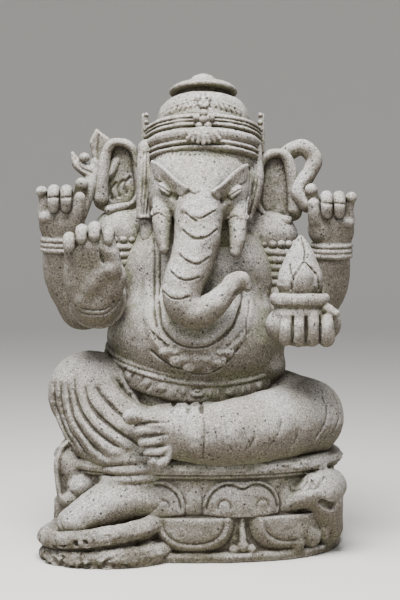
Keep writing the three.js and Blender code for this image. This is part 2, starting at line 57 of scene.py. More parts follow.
class Block:
    """Stone being carved: distances to its surface on a grid, negative inside."""

    def __init__(self, low, high, grain):
        self.low = np.array(low, float)
        self.grain = grain
        self.steps = np.ceil((np.array(high) - self.low) / grain).astype(int) + 1
        self.field = np.full(self.steps, FAR, np.float32)

    def window(self, low, high):
        first = np.floor((np.array(low) - self.low) / self.grain).astype(int).clip(0, self.steps - 1)
        last = np.ceil((np.array(high) - self.low) / self.grain).astype(int).clip(0, self.steps - 1) + 1
        axes = [self.low[k] + self.grain * np.arange(first[k], last[k], dtype=np.float32) for k in range(3)]
        spans = tuple(slice(a, b) for a, b in zip(first, last))
        return spans, np.meshgrid(*axes, indexing="ij", sparse=True)

    def add(self, shape, blend=3.0):
        reach = blend + 3 * self.grain
        spans, axes = self.window(np.array(shape.low) - reach, np.array(shape.high) + reach)
        self.field[spans] = -soft_max(-self.field[spans], -shape.distance(*axes), blend)

    def cut(self, shape, blend=2.0):
        reach = blend + 3 * self.grain
        spans, axes = self.window(np.array(shape.low) - reach, np.array(shape.high) + reach)
        self.field[spans] = soft_max(self.field[spans], -shape.distance(*axes), blend)

    def value(self, spots):
        return sampled(self.field.clip(-NEARBY, NEARBY), self.low, self.grain, spots)

    def seen(self, spot, view):
        """The first stone met at a spot of a view: x and z from the front or back, y and z from a
        side, and x and y from the top."""
        axis, way = VIEWS[view]
        across = [k for k in range(3) if k != axis]
        steps = [int(round((a - self.low[k]) / self.grain)) for a, k in zip(spot, across)]
        if any(n < 0 or n >= self.steps[k] for n, k in zip(steps, across)):
            return None
        column = np.moveaxis(self.field, axis, -1)[tuple(steps)][::way]
        inside = np.nonzero(column < 0)[0]
        if len(inside) == 0 or inside[0] == 0:
            return None
        j = inside[0]
        outer = min(column[j - 1], self.grain)
        depth = j - 1 + outer / (outer - column[j])
        found = np.insert(np.array(spot, float), axis, 0)
        found[axis] = self.low[axis] + self.grain * (depth if way > 0 else len(column) - 1 - depth)
        return found

    def onto(self, line, lift, view):
        """A smooth line of spots in a view laid on the stone and lifted off it by a height."""
        path = curve(np.array(line, float), 6)
        met = [spot for spot in (self.seen(p, view) for p in path) if spot is not None]
        if len(met) < 2:
            return None
        met = np.array(met)
        slope = [self.value(met + d) - self.value(met - d) for d in np.eye(3) * self.grain]
        slope = np.stack(slope, 1)
        lifts = np.interp(np.linspace(0, 1, len(met)), np.linspace(0, 1, np.size(lift)), np.atleast_1d(lift))
        return met + slope * (lifts / np.maximum(np.linalg.norm(slope, axis=1), 1e-3))[:, None]

    def groove(self, line, width, deep, blend=1.2, view="front", taper=0.0):
        """A cut along a line on the stone, open at the surface, that runs out thin at its ends."""
        full = 1 - taper * np.array([1, 0.45, 0.1, 0, 0, 0.1, 0.45, 1])
        tubes = [self.onto(line, full * (width / 2 - deep), view)]
        if deep > width / 2:
            tubes.append(self.onto(line, 0, view))
        for spots in tubes:
            if spots is not None:
                self.cut(limb(spots, full * width / 2, steps=1), blend)

    def ridge(self, line, width, high, blend=1.5, view="front"):
        spots = self.onto(line, high - width / 2, view)
        if spots is not None:
            self.add(limb(spots, [width / 2], steps=1), blend)

    def slab(self, first, second, thick, rows, blend):
        """A skin of a thickness between two lines in space."""
        count = min(len(first), len(second))
        a, b = (line[np.linspace(0, len(line) - 1, count).astype(int)] for line in (first, second))
        for share in np.linspace(0, 1, rows):
            self.add(limb(a * (1 - share) + b * share, [thick / 2], steps=1), blend)

    def stud(self, spot, radii, high, blend):
        """A round boss that stands out of the front by a height."""
        met = self.onto([spot, np.array(spot) + 0.01], high - min(radii), "front")
        if met is not None:
            self.add(ball(met[0], radii), blend)

    def roughen(self, size, depth, seed, low=None, high=None):
        """Unevenness of a size and depth, all over or inside a box."""
        low = self.low if low is None else low
        high = self.low + self.grain * self.steps if high is None else high
        spans, axes = self.window(low, high)
        counts = [int(a.size * self.grain / size) + 2 for a in axes]
        bumps = np.random.default_rng(seed).normal(size=counts)
        for a, n in zip(axes, counts):
            spot = np.linspace(0, n - 1.001, a.size)
            share = spot % 1
            share = share * share * (3 - 2 * share)
            mixer = np.zeros((a.size, n))
            mixer[np.arange(a.size), spot.astype(int)] = 1 - share
            mixer[np.arange(a.size), spot.astype(int) + 1] = share
            bumps = np.tensordot(bumps, mixer, axes=(0, 1))
        self.field[spans] += (depth * bumps).astype(np.float32)


def soft_max(a, b, blend):
    """The larger of two values, rounded where they are closer than blend."""
    near = np.maximum(blend - np.abs(a - b), 0) / blend
    return np.maximum(a, b) + near * near * (blend / 4)


def curve(points, steps):
    """A smooth line through the points, with this many steps between each two."""
    if len(points) == 2:
        t = np.linspace(0, 1, steps + 1)[:, None]
        return points[0] * (1 - t) + points[1] * t
    ends = np.vstack([2 * points[0] - points[1], points, 2 * points[-1] - points[-2]])
    spans = []
    for a, b, c, d in zip(ends, ends[1:], ends[2:], ends[3:]):
        t = np.arange(steps)[:, None] / steps
        slope, bow, twist = c - a, 2 * a - 5 * b + 4 * c - d, 3 * b - a - 3 * c + d
        spans.append(0.5 * (2 * b + slope * t + bow * t**2 + twist * t**3))
    return np.vstack([*spans, points[-1:]])


def turn_matrix(degrees):
    """A turn by degrees about X, Y and Z."""
    return np.array(Euler([math.radians(a) for a in degrees]).to_matrix())


def own_axes(pose, at, x, y, z):
    """The distances of spots from a turned shape's middle, along its own axes."""
    off = (x - at[0], y - at[1], z - at[2])
    return [sum(pose[k][i] * off[k] for k in range(3)) for i in range(3)]


def ball(at, radii, turn=(0, 0, 0)):
    """An ellipsoid, turned by degrees about X, Y and Z."""
    at, radii = np.array(at, float), np.array([1, 1, 1]) * radii
    pose = turn_matrix(turn)

    def distance(x, y, z):
        own = [p / r for p, r in zip(own_axes(pose, at, x, y, z), radii)]
        near = np.sqrt(sum(p * p for p in own))
        slope = np.sqrt(sum((p / r) ** 2 for p, r in zip(own, radii)))
        return np.where(near < 0.1, -0.9 * radii.min(), near * (near - 1) / np.maximum(slope, 1e-6))

    return Shape(at - radii.max(), at + radii.max(), distance)


def limb(points, radii, flat=(0, 0, 1, 1), steps=6):
    """A round bar along a smooth line, pressed flat along a direction."""
    path = curve(np.array(points, float), steps)
    thick = np.interp(np.linspace(0, 1, len(path)), np.linspace(0, 1, len(radii)), radii)
    press = np.array(flat[:3], float)
    press /= np.linalg.norm(press)
    stretch = 1 / flat[3] - 1
    bulge = thick.max() + ROOM
    squeezed = path + np.outer(path @ press, press) * stretch

    def distance(x, y, z):
        out = np.full((x.size, y.size, z.size), FAR, np.float32)
        for n in range(len(path) - 1):
            low = np.minimum(path[n], path[n + 1]) - bulge
            high = np.maximum(path[n], path[n + 1]) + bulge
            cuts = [slice(*np.searchsorted(a.ravel(), (low[k], high[k]))) for k, a in enumerate((x, y, z))]
            if any(c.start >= c.stop for c in cuts):
                continue
            spot = [x[cuts[0]], y[:, cuts[1]], z[:, :, cuts[2]]]
            if stretch:
                lean = sum(p * s for p, s in zip(press, spot)) * stretch
                spot = [s + p * lean for p, s in zip(press, spot)]
            a, along = squeezed[n], squeezed[n + 1] - squeezed[n]
            off = [s - c for s, c in zip(spot, a)]
            share = (sum(o * d for o, d in zip(off, along)) / max(along @ along, 1e-9)).clip(0, 1)
            gap = np.sqrt(sum((o - share * d) ** 2 for o, d in zip(off, along)))
            gap = gap - (thick[n] + (thick[n + 1] - thick[n]) * share)
            part = tuple(cuts)
            out[part] = np.minimum(out[part], gap)
        return out * (1 + flat[3]) / 2

    return Shape(path.min(0) - bulge, path.max(0) + bulge, distance)


class Outline:
    """Distance to a closed outline, negative inside, looked up on a fine raster."""

    def __init__(self, corners, margin=26.0, grain=0.7):
        corners = np.array(corners, float)
        self.low = corners.min(0) - margin
        self.grain = grain
        size = np.ceil((corners.max(0) + margin - self.low) / grain).astype(int) + 1
        u, v = np.meshgrid(*(self.low[k] + grain * np.arange(size[k]) for k in (0, 1)), indexing="ij")
        near = np.full(u.shape, FAR)
        inside = np.zeros(u.shape, bool)
        for a, b in zip(corners, np.roll(corners, -1, axis=0)):
            edge = b - a
            share = (((u - a[0]) * edge[0] + (v - a[1]) * edge[1]) / max(edge @ edge, 1e-9)).clip(0, 1)
            near = np.minimum(near, np.hypot(u - a[0] - share * edge[0], v - a[1] - share * edge[1]))
            meets = a[0] + (v - a[1]) * edge[0] / (edge[1] if abs(edge[1]) > 1e-9 else 1e-9)
            inside ^= ((a[1] > v) != (b[1] > v)) & (u < meets)
        self.table = np.where(inside, -near, near).astype(np.float32)

    def __call__(self, u, v):
        rows, columns = self.table.shape
        i = ((u - self.low[0]) / self.grain).clip(0, rows - 1.001)
        j = ((v - self.low[1]) / self.grain).clip(0, columns - 1.001)
        i, j = np.broadcast_arrays(i, j)
        a, b = i.astype(int), j.astype(int)
        s, t = i - a, j - b
        low = self.table[a, b] * (1 - t) + self.table[a, b + 1] * t
        return low * (1 - s) + (self.table[a + 1, b] * (1 - t) + self.table[a + 1, b + 1] * t) * s


def turned(profile, at, oval, lean=(0, 0, 0)):
    """A turned shape about its own Z from [radius, height] points, made oval by two scales."""
    at, oval = np.array(at, float), np.array(oval, float)
    pose = turn_matrix(lean)
    outline = Outline([*profile, *([-r, h] for r, h in reversed(profile))])
    wide = max(r for r, _ in profile) * oval.max() + 8
    tall = [min(h for _, h in profile) - 4, max(h for _, h in profile) + 4]
    corners = np.array([[i, j, k] for i in (-wide, wide) for j in (-wide, wide) for k in tall]) @ pose.T + at

    def distance(x, y, z):
        own = own_axes(pose, at, x, y, z)
        return outline(np.hypot(own[0] / oval[0], own[1] / oval[1]), own[2])

    return Shape(corners.min(0), corners.max(0), distance)


def plate(outline, thickness, at, edge=4.0, relief=None):
    """A plate cut to an outline in its own XZ plane, with rounded edges. relief gives what its
    front stands out or in, by the distance from the outline."""
    corners = np.array(outline, float)
    at = np.array(at, float)
    shape = Outline(corners)
    low, high = corners.min(0), corners.max(0)

    def distance(x, y, z):
        rim = shape(x - at[0], z - at[2])
        half = thickness / 2 + (np.where(y < at[1], relief(rim), 0) if relief else 0)
        u, v = rim + edge, np.abs(y - at[1]) - half + edge
        return np.hypot(np.maximum(u, 0), np.maximum(v, 0)) + np.minimum(np.maximum(u, v), 0) - edge

    half = [thickness / 2 + 8]
    return Shape(at + [low[0], -half[0], low[1]], at + [high[0], half[0], high[1]], distance)


def linear(code):
    """An sRGB hex colour as Blender's linear values, fully opaque."""
    parts = [int(code[i : i + 2], 16) / 255 for i in (1, 3, 5)]
    return [c / 12.92 if c <= 0.04045 else ((c + 0.055) / 1.055) ** 2.4 for c in parts] + [1]


def add_node(tree, kind, settings=None, **inputs):
    """A node with its settings, its input values and its links from other nodes' sockets."""
    node = tree.nodes.new(kind)
    for name, value in (settings or {}).items():
        setattr(node, name, value)
    for name, value in inputs.items():
        spot = node.inputs[int(name[1:])] if name[0] == "_" else node.inputs[name.replace("_", " ")]
        if isinstance(value, bpy.types.NodeSocket):
            tree.links.new(value, spot)
        else:
            spot.default_value = value
    return node


def weathered_tuff():
    """Volcanic tuff left rough from the chisel and weathered outdoors: fully matt, speckled with pale and
    dark grains, pitted by gas holes, pale where rain and hands have worn it with a painted highlight on the
    raised edges, darkened on down-facing sides as painted shade, and dark with dirt and painted shade in the
    hollows, with a thin green growth in sheltered places."""
    stone = bpy.data.materials.new("weathered_tuff")
    stone.use_nodes = True
    tree = stone.node_tree
    bsdf = tree.nodes["Principled BSDF"]
    place = add_node(tree, "ShaderNodeTexCoord").outputs["Object"]
    level = {"height": add_node(tree, "ShaderNodeSeparateXYZ", None, Vector=place).outputs["Z"]}
    for name in ("hollow", "shelter", "under"):
        level[name] = add_node(tree, "ShaderNodeAttribute", {"attribute_name": name}).outputs["Fac"]
    # Gas holes, 3 to 5 mm wide, in cells 12 mm apart.
    cells = add_node(tree, "ShaderNodeTexVoronoi", None, Vector=place, Scale=1 / (12 * MM))
    level["cell"] = cells.outputs["Distance"]
    # Cloudy noises, by the size of their lumps in millimetres, their detail and roughness. Most of
    # the real feldspar and pumice grains are finer, and are drawn at 2.6 and 3 mm so that they show.
    noises = (
        ("broad", 60, 2.0, 0.5),
        ("uneven", 38, 3.0, 0.6),
        ("patches", 45, 4.0, 0.6),
        ("splashes", 50, 4.0, 0.6),
        ("feldspar", 2.6, 1.0, 0.5),
        ("pumice", 3.0, 3.0, 0.75),
        ("lumps", 7.0, 4.0, 0.7),
        ("porous", 26, 0.0, 0.5),
        ("grain", 2.6, 3.0, 0.65),
        ("ripple", 9, 2.0, 0.5),
    )
    for name, size, detail, rough in noises:
        noise = {"Vector": place, "Scale": 1 / (size * MM), "Detail": detail, "Roughness": rough}
        level[name] = add_node(tree, "ShaderNodeTexNoise", None, **noise).outputs["Fac"]
    # The painted shade on down-facing sides has an uneven edge.
    shade = {"_0": level["uneven"], "_1": 0.7, "_2": level["under"]}
    level["shade"] = add_node(tree, "ShaderNodeMath", {"operation": "MULTIPLY_ADD"}, **shade).outputs[0]
    # How far each shows, from none at the first value of what it follows to all at the second.
    shares = (
        ("warm", "broad", 0.38, 0.62, 1),
        # The next two darken down-facing sides as painted shade.
        ("underside_shade", "shade", -0.1, 0.65, 1),
        ("deep_underside_shade", "under", 0.2, 0.8, 0.7),
        ("damp", "shelter", 0.28, 0.78, 0.7),
        ("mossy", "patches", 0.38, 0.6, 1),
        ("ground", "height", 110 * MM, 20 * MM, 0.75),
        ("splashed", "splashes", 0.3, 0.6, 1),
        # The next two darken sheltered recesses and the carved cuts with dirt and painted shade.
        ("grime_and_shade", "shelter", 0.7, 1.5, 0.7),
        ("cut_dirt_and_shade", "hollow", 0.15, 1.2, 0.8),
        # Raised edges are lightened as worn stone with a painted highlight.
        ("wear_and_highlight", "hollow", -0.3, -1.6, 0.2),
        ("pale_grain", "feldspar", 0.5, 0.7, 0.75),
        ("dark_grain", "pumice", 0.5, 0.34, -0.75),
        ("dark_lump", "lumps", 0.44, 0.3, -0.35),
        ("middle", "cell", 0.2, 0.11, 1),
        ("some", "porous", 0.47, 0.54, 1),
    )
    for name, source, none, whole, most in shares:
        fit = {"Value": level[source], "From_Min": none, "From_Max": whole, "To_Max": most}
        smooth = {"interpolation_type": "SMOOTHSTEP"}
        level[name] = add_node(tree, "ShaderNodeMapRange", smooth, **fit).outputs[0]
    both = (("green", "damp", "mossy"), ("soil", "ground", "splashed"), ("hole", "middle", "some"))
    for name, first, second in both:
        pair = {"_0": level[first], "_1": level[second]}
        level[name] = add_node(tree, "ShaderNodeMath", {"operation": "MULTIPLY"}, **pair).outputs[0]
    # Clouds of warmer stone, painted shade in dark earth tones on down-facing sides, a thin green growth in
    # sheltered places, soil splashed up from the ground, dirt and painted shade in sheltered recesses and in
    # the cuts, and worn edges with a painted highlight.
    stains = (
        ("warm", "#aaa6a2"),
        # The next two colours are painted shade on down-facing sides.
        ("underside_shade", "#665f56"),
        ("deep_underside_shade", "#4c4634"),
        ("green", "#5f6046"),
        ("soil", "#544d3f"),
        # The next two colours are dirt and painted shade in recesses and cuts.
        ("grime_and_shade", "#463f32"),
        ("cut_dirt_and_shade", "#39332a"),
        # Worn stone with a painted highlight on raised edges.
        ("wear_and_highlight", "#c2bdb6"),
    )
    colour = linear("#9b968f")
    for name, code in stains:
        layer = {"_0": level[name], "_6": colour, "_7": linear(code)}
        colour = add_node(tree, "ShaderNodeMix", {"data_type": "RGBA"}, **layer).outputs[2]
    # The grains lighten and darken the stone in proportion, and the holes are dark.
    tone = 1.0
    for name in ("pale_grain", "dark_grain", "dark_lump"):
        tone = add_node(tree, "ShaderNodeMath", {"operation": "ADD"}, _0=tone, _1=level[name]).outputs[0]
    colour = add_node(tree, "ShaderNodeVectorMath", {"operation": "SCALE"}, _0=colour, Scale=tone).outputs[0]
    depth = {"_0": level["hole"], "_1": 0.8}
    level["dark_hole"] = add_node(tree, "ShaderNodeMath", {"operation": "MULTIPLY"}, **depth).outputs[0]
    layer = {"_0": level["dark_hole"], "_6": colour, "_7": linear("#26211b")}
    colour = add_node(tree, "ShaderNodeMix", {"data_type": "RGBA"}, **layer).outputs[2]
    tree.links.new(colour, bsdf.inputs["Base Color"])
    bsdf.inputs["Roughness"].default_value = 0.94
    bsdf.inputs["Specular IOR Level"].default_value = 0.25
    # The grain stands out by some tenths of a millimetre, and the holes sink in.
    relief = 0.0
    for name, rise in (("grain", 1.1), ("ripple", 0.9), ("hole", -1.6)):
        part = {"_0": level[name], "_1": rise, "_2": relief}
        relief = add_node(tree, "ShaderNodeMath", {"operation": "MULTIPLY_ADD"}, **part).outputs[0]
    bump = add_node(tree, "ShaderNodeBump", None, Height=relief, Distance=1.5 * MM, Strength=0.75)
    tree.links.new(bump.outputs[0], bsdf.inputs["Normal"])
    return stone


tuff = weathered_tuff()
blocks = []
shown_pieces = []


def blurred(field, reach):
    """The mean over a cube of 2 * reach + 1 steps."""
    for axis in range(3):
        pad = [(reach + 1, reach) if k == axis else (0, 0) for k in range(3)]
        total = np.cumsum(np.pad(field, pad, mode="edge"), axis=axis, dtype=np.float32)
        ahead = np.take(total, range(2 * reach + 1, total.shape[axis]), axis=axis)
        behind = np.take(total, range(0, total.shape[axis] - 2 * reach - 1), axis=axis)
        field = (ahead - behind) / (2 * reach + 1)
    return field


def sampled(field, low, grain, points):
    """Values of a grid at points in millimetres."""
    spot = ((points - low) / grain).clip(0, np.array(field.shape) - 1.001)
    a = spot.astype(int)
    share = spot - a
    total = np.zeros(len(points), np.float32)
    for corner in np.ndindex(2, 2, 2):
        weight = np.prod(np.where(corner, share, 1 - share), axis=1)
        total += weight * field[tuple((a + corner).T)]
    return total


SHELL = 12.0  # distances from the surface that a mesh is made from, in mm
CUT_REACH = 3  # half width in mm of the cuts that are darkened with dirt and painted shade
HOLLOW_REACH = 8  # and of the broader hollows
UNEVENNESS = ((22, 1, 0), (7, 0.35, 100))  # size in mm, share of the depth, and step of the seed


def plain_mesh(raw, name):
    """The mesh that an object's modifiers make, and its points in millimetres. The object goes."""
    bpy.context.view_layer.update()
    mesh = bpy.data.meshes.new_from_object(raw.evaluated_get(bpy.context.evaluated_depsgraph_get()))
    bpy.data.objects.remove(raw)
    mesh.name = name
    mesh.shade_smooth()
    spots = np.zeros(len(mesh.vertices) * 3, np.float32)
    mesh.vertices.foreach_get("co", spots)
    return mesh, spots.reshape(-1, 3) / MM


def note(mesh, name, values):
    """Keeps a value for each point of a mesh, which the stone's material reads."""
    mesh.attributes.new(name, "FLOAT", "POINT").data.foreach_set("value", values)


def finish_piece(name, block, triangles, seed, uneven=0.7):
    """Makes the carved block a mesh of the figure's stone, and notes how hollow or raised each spot is, for
    the dirt and painted shade in its cuts and the worn stone with a painted highlight on its edges.
    """
    for size, share, further in UNEVENNESS:
        block.roughen(size, uneven * share, seed + further)
    heights = block.low[2] + block.grain * np.arange(block.steps[2], dtype=np.float32)
    clamped = np.maximum(block.field.clip(-SHELL, SHELL), -heights)
    grid = vdb.FloatGrid(SHELL)
    grid.copyFromArray(clamped.clip(-3 * block.grain, 3 * block.grain))
    points, quads = grid.convertToQuads(0.0)
    points = points * block.grain + block.low
    mesh = bpy.data.meshes.new(name)
    mesh.from_pydata((points * MM).tolist(), [], quads.tolist())
    raw = bpy.data.objects.new(name + "_raw", mesh)
    bpy.context.scene.collection.objects.link(raw)
    fewer = raw.modifiers.new("fewer", "DECIMATE")
    fewer.ratio = min(1.0, triangles / (2 * len(quads)))
    shown, spots = plain_mesh(raw, name)
    # How hollow each spot is: the material darkens cuts and hollows with dirt and painted shade, and lightens
    # raised edges as worn stone with a painted highlight.
    hollow = np.zeros(len(spots), np.float32)
    for reach, strength in ((CUT_REACH, 0.8), (HOLLOW_REACH, 0.25)):
        sunk = clamped - blurred(clamped, round(reach / block.grain))
        hollow += sampled(sunk, block.low, block.grain, spots) * np.float32(strength)
    note(shown, "hollow", hollow)
    shown.materials.clear()
    shown.materials.append(tuff)
    blocks.append(block)
    show(name, shown, spots)


def show(name, mesh, spots):
    """Puts a finished mesh in the scene as a piece of the one stone."""
    piece = bpy.data.objects.new(name, mesh)
    bpy.context.scene.collection.objects.link(piece)
    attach(piece, "root")
    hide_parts(FIGURE)
    shown_pieces.append((piece, spots))


THRONE_HALF = (246, 182)
THRONE_TOP = 166
THRONE_PROFILE = np.array([[14, -1], [10, 2], [8, 10], [10, 15], [21, 18], [22, 70], [23, 74], [22, 78],
                           [21, 134], [14, 138], [16, 141], [9, 144], [7, 150], [10, 158], [20, 164],
                           [34, THRONE_TOP]])  # inset from the half widths, and height
CORNER_SWELL = 10
PETALS = 8
ROUND = 2 * math.pi * math.hypot(*THRONE_HALF) / math.sqrt(2)
PITCH = ROUND / PETALS
STANDING = (69, 60)  # half width and height of a standing petal
HANGING = (76, 60)
ROWS_MEET = 73
BUD = 74  # distance round from the middle of the front to the bud between two hanging petals
turns = np.linspace(0, 2 * math.pi, 721)
line_x, line_y = THRONE_HALF[0] * np.sin(turns), -THRONE_HALF[1] * np.cos(turns)
lengths = np.concatenate([[0], np.cumsum(np.hypot(np.diff(line_x), np.diff(line_y)))])


def throne_spot(s, inset, z):
    """A spot on the throne's side, s round from the middle of the front to the figure's left."""
    turn = np.interp(s % lengths[-1], lengths, turns)
    sin, cos = math.sin(turn), math.cos(turn)
    slope = math.hypot(THRONE_HALF[0] * cos, THRONE_HALF[1] * sin)
    out = CORNER_SWELL * (2 * sin * cos) ** 2 - inset
    x = THRONE_HALF[0] * sin + out * THRONE_HALF[1] * sin / slope
    return [x, -THRONE_HALF[1] * cos - out * THRONE_HALF[0] * cos / slope, z]


def step(value, low, high):
    share = ((value - low) / (high - low)).clip(0, 1)
    return share * share * (3 - 2 * share)


def line_cut(gap, width):
    """A cut of depth 1 along a line that lies where gap is 0."""
    return np.exp(-((gap / width) ** 2))


def petal_relief(s, z):
    """How far the petals stand out of the throne's side."""
    from_bud = (s - BUD + PITCH / 2) % PITCH - PITCH / 2
    # Standing petal over each bud, with a line inside its edge that dips in the middle.
    def lobed(height):
        above = np.maximum(height - (ROWS_MEET + 3), 0)
        return 1 - (np.abs(from_bud) / STANDING[0]) ** 2.6 - (above / STANDING[1]) ** 2.4

    inside = lobed(z).clip(0, 1)
    up = 21 * inside**0.42 * step(z, 69, 75)
    dipped = lobed(z + 9 * np.exp(-((from_bud / 14) ** 2)))
    up -= 3.4 * line_cut(dipped - 0.3, 0.07) * step(z, 80, 90)
    up += 2.5 * step(0.3 - dipped, 0, 0.12) * step(dipped, 0.02, 0.1) * step(z, 84, 96)
    arch = np.hypot(np.abs(from_bud) - 31, (z - 90) * 0.9)
    up -= 2.4 * line_cut(arch - 10, 2.2) * step(z, 84, 90)
    # A pointed leaf between two standing petals.
    aside = PITCH / 2 - np.abs(from_bud)
    leaf = (1 - (aside / 24) ** 2 - ((z - 88) / 44) ** 2).clip(0, 1)
    up = np.maximum(up, 13 * leaf**0.5 - 2.0 * line_cut(aside, 1.8) * (leaf > 0))
    # Hanging petals, one on each side of the bud, with an inner border.
    below = np.maximum(ROWS_MEET + 1 - z, 0)
    edge = ((np.abs(aside) / HANGING[0]) ** 2.7 + (below / HANGING[1]) ** 2.7) ** 0.37 - 1
    down = 20 * (-edge * 4.5).clip(0, 1) ** 0.5 + 4 * (1 - (aside / HANGING[0]) ** 2)
    down = np.where(edge < 0, down, 0) - 2.8 * line_cut(edge + 0.3, 0.035)
    return np.maximum(np.where(z > ROWS_MEET, up, down), 8)


def throne_side():
    def distance(x, y, z):
        sin, cos = x / THRONE_HALF[0], -y / THRONE_HALF[1]
        far = np.hypot(sin, cos)
        slope = np.hypot(sin / THRONE_HALF[0], cos / THRONE_HALF[1])
        out = far * (far - 1) / np.maximum(slope, 1e-6)
        turn = np.arctan2(sin, cos) % (2 * math.pi)
        s = np.interp(turn, turns, lengths)
        swell = CORNER_SWELL * (2 * sin * cos / np.maximum(far * far, 1e-6)) ** 2
        inset = np.interp(z.ravel(), THRONE_PROFILE[:, 1], THRONE_PROFILE[:, 0]).reshape(z.shape)
        side = out - swell + inset - petal_relief(s, z)
        return np.maximum(side * 0.9, z - THRONE_TOP)

    return Shape((-275, -215, -3), (275, 215, THRONE_TOP + 1), distance)


throne = Block((-282, -222, -4), (282, 214, 190), 2.0)
throne.add(throne_side(), 1)
for n in range(PETALS):
    s = BUD + n * PITCH
    stalk = [throne_spot(s, inset, z) for inset, z in ((13, 74), (12, 56), (9, 38))]
    throne.add(limb(stalk, [3, 5, 7]), 2)
    throne.add(ball(throne_spot(s, 8, 27), (9, 9, 11)), 2)
    for side in (-1, 1):
        throne.add(ball(throne_spot(s + side * 14, 9, 21), (8, 8, 8)), 2)
# The scrolled head of leaves at the front corner by the left knee, over a dark undercut.
throne.add(limb([[150, -142, 88], [178, -136, 104], [204, -118, 112], [220, -92, 112]], [9, 22, 30, 27]), 8)
throne.add(limb([[204, -116, 100], [212, -106, 72], [221, -92, 40], [218, -88, 26]], [34, 27, 20, 16]), 8)
throne.add(ball((196, -130, 122), (25, 20, 14), (0, 18, 30)), 6)
throne.add(ball((224, -104, 106), (14, 16, 16)), 4)
throne.cut(limb([[150, -160, 79], [180, -156, 72], [203, -146, 56], [222, -124, 36]], [4, 9, 8, 3]), 6)
throne.groove([[202, 92], [210, 87], [218, 84]], 14, 9, 3)
for n in range(3):
    x, z = 180 + 13 * n, 132 + n
    throne.groove([[x, z], [x - 12, z - 14], [x - 24, z - 20]], 6, 3, 3, taper=0.6)
throne.add(ball((160, -142, 24), (14, 10, 15)), 4)
throne.add(ball((186, -128, 34), (17, 13, 18), (0, 20, 25)), 4)
throne.add(ball((205, -112, 42), (12, 12, 18), (0, -15, 35)), 4)
# The broad volute at the other front corner, with a raised rim round two lobes.
VOLUTE = [[-178, 176], [-190, 198], [-208, 198], [-226, 182], [-236, 156], [-237, 126], [-232, 98],
          [-222, 78], [-196, 78], [-172, 100], [-166, 140]]
throne.add(plate(VOLUTE, 48, (0, -97, 0), 9, lambda rim: -8 * step(-rim, 5, 11)), 4)
throne.add(ball((-209, -110, 146), (19, 13, 28), (0, -20, 0)), 6)
throne.add(ball((-190, -116, 112), (24, 16, 24), (0, 35, 0)), 6)
throne.add(ball((-210, -118, 90), (17, 13, 14)), 6)
throne.add(ball((-170, -98, 140), (24, 26, 34)), 10)
throne.add(ball((-206, -62, 150), (28, 44, 40)), 14)
# Two thin fillets under the seat.
for z, out in ((143, 8), (137, 14)):
    rim = [throne_spot(s, out, z) for s in np.linspace(0, lengths[-1], 41)]
    throne.add(limb(rim, [2.6], steps=2), 2)
throne.roughen(13, 1.3, 5, (60, -230, 150), (282, 0, 190))
finish_piece("throne", throne, 110000, 11, 0.9)

# The pad under the right foot: a rough-edged slab and a cushion with a raised border, cut from the
# same block as the throne. Both are chipped along their edges and tilt down to the figure's right.
PAD_AT = (-142, -128, 0)
PAD_OVAL = (1, 0.83)
PAD_SLAB = [[0, -14], [106, -14], [111, -4], [114, 4], [117, 14], [114, 24], [107, 30], [96, 32], [0, 32]]
PAD_CUSHION = [[0, 18], [86, 18], [94, 33], [101, 38], [110, 42], [114, 50], [112, 59], [105, 66],
               [95, 68], [85, 62], [77, 53], [0, 51]]
pad = Block((-272, -236, -3), (-18, -16, 96), 1.6)
pad.add(turned(PAD_SLAB, PAD_AT, PAD_OVAL, (0, -4, 8)), 1)
pad.add(turned(PAD_CUSHION, PAD_AT, PAD_OVAL, (0, -8.5, 8)), 2)
chips = np.random.default_rng(3)
for turn in np.arange(-2.2, 1.9, 0.07):
    upper, lower = 43 + 16 * math.sin(turn), 24 + 8 * math.sin(turn)
    for out, z, size in ((117, lower, 3.5), (115, 3, 6), (115, upper, 3)):
        reach = out + chips.uniform(-1, 5)
        lift = z + chips.uniform(-6, 6)
        spot = (PAD_AT[0] + reach * math.sin(turn), PAD_AT[1] - reach * PAD_OVAL[1] * math.cos(turn), lift)
        radii = chips.uniform(0.5, 1.6, 3) * size + 1
        if chips.random() < 0.6:
            pad.cut(ball(spot, radii, chips.uniform(0, 90, 3)), 3)
for low, high, depth in ((-3, 12, 1.6), (20, 34, 0.7), (34, 54, 1.1)):
    pad.roughen(9, depth, 21 + low, (-272, -236, low), (-18, -16, high))
pad.roughen(4.5, 0.35, 22)
finish_piece("foot_pad", pad, 45000, 12, 0.8)

# The legs, under a thin wrapped cloth cut into the stone: the right knee is raised with the foot on
# the pad, and the left leg lies folded on the seat with its foot against the right shin.
RIGHT_KNEE = (-183, -60, 262)
LEFT_KNEE = (179, -50, 219)
FLAT_FOOT = (0, 1, 0, 0.62)


def ring(at, across, deep, thick, turn=(0, 0, 0)):
    """A roll round a limb: an oval loop of two half widths, turned by degrees."""
    angles = np.linspace(0, 2 * math.pi, 25)
    loop = np.stack([across * np.sin(angles), -deep * np.cos(angles), 0 * angles], 1)
    return limb(loop @ turn_matrix(turn).T + np.array(at), [thick], steps=1)


legs = Block((-264, -230, 56), (262, 100, 336), 1.9)
legs.add(limb([[-60, 0, 236], [-122, -26, 252], RIGHT_KNEE], [66, 71, 66]))
shin = [RIGHT_KNEE, [-156, -88, 216], [-124, -112, 190]]
legs.add(limb(shin, [68, 70, 64]), 10)
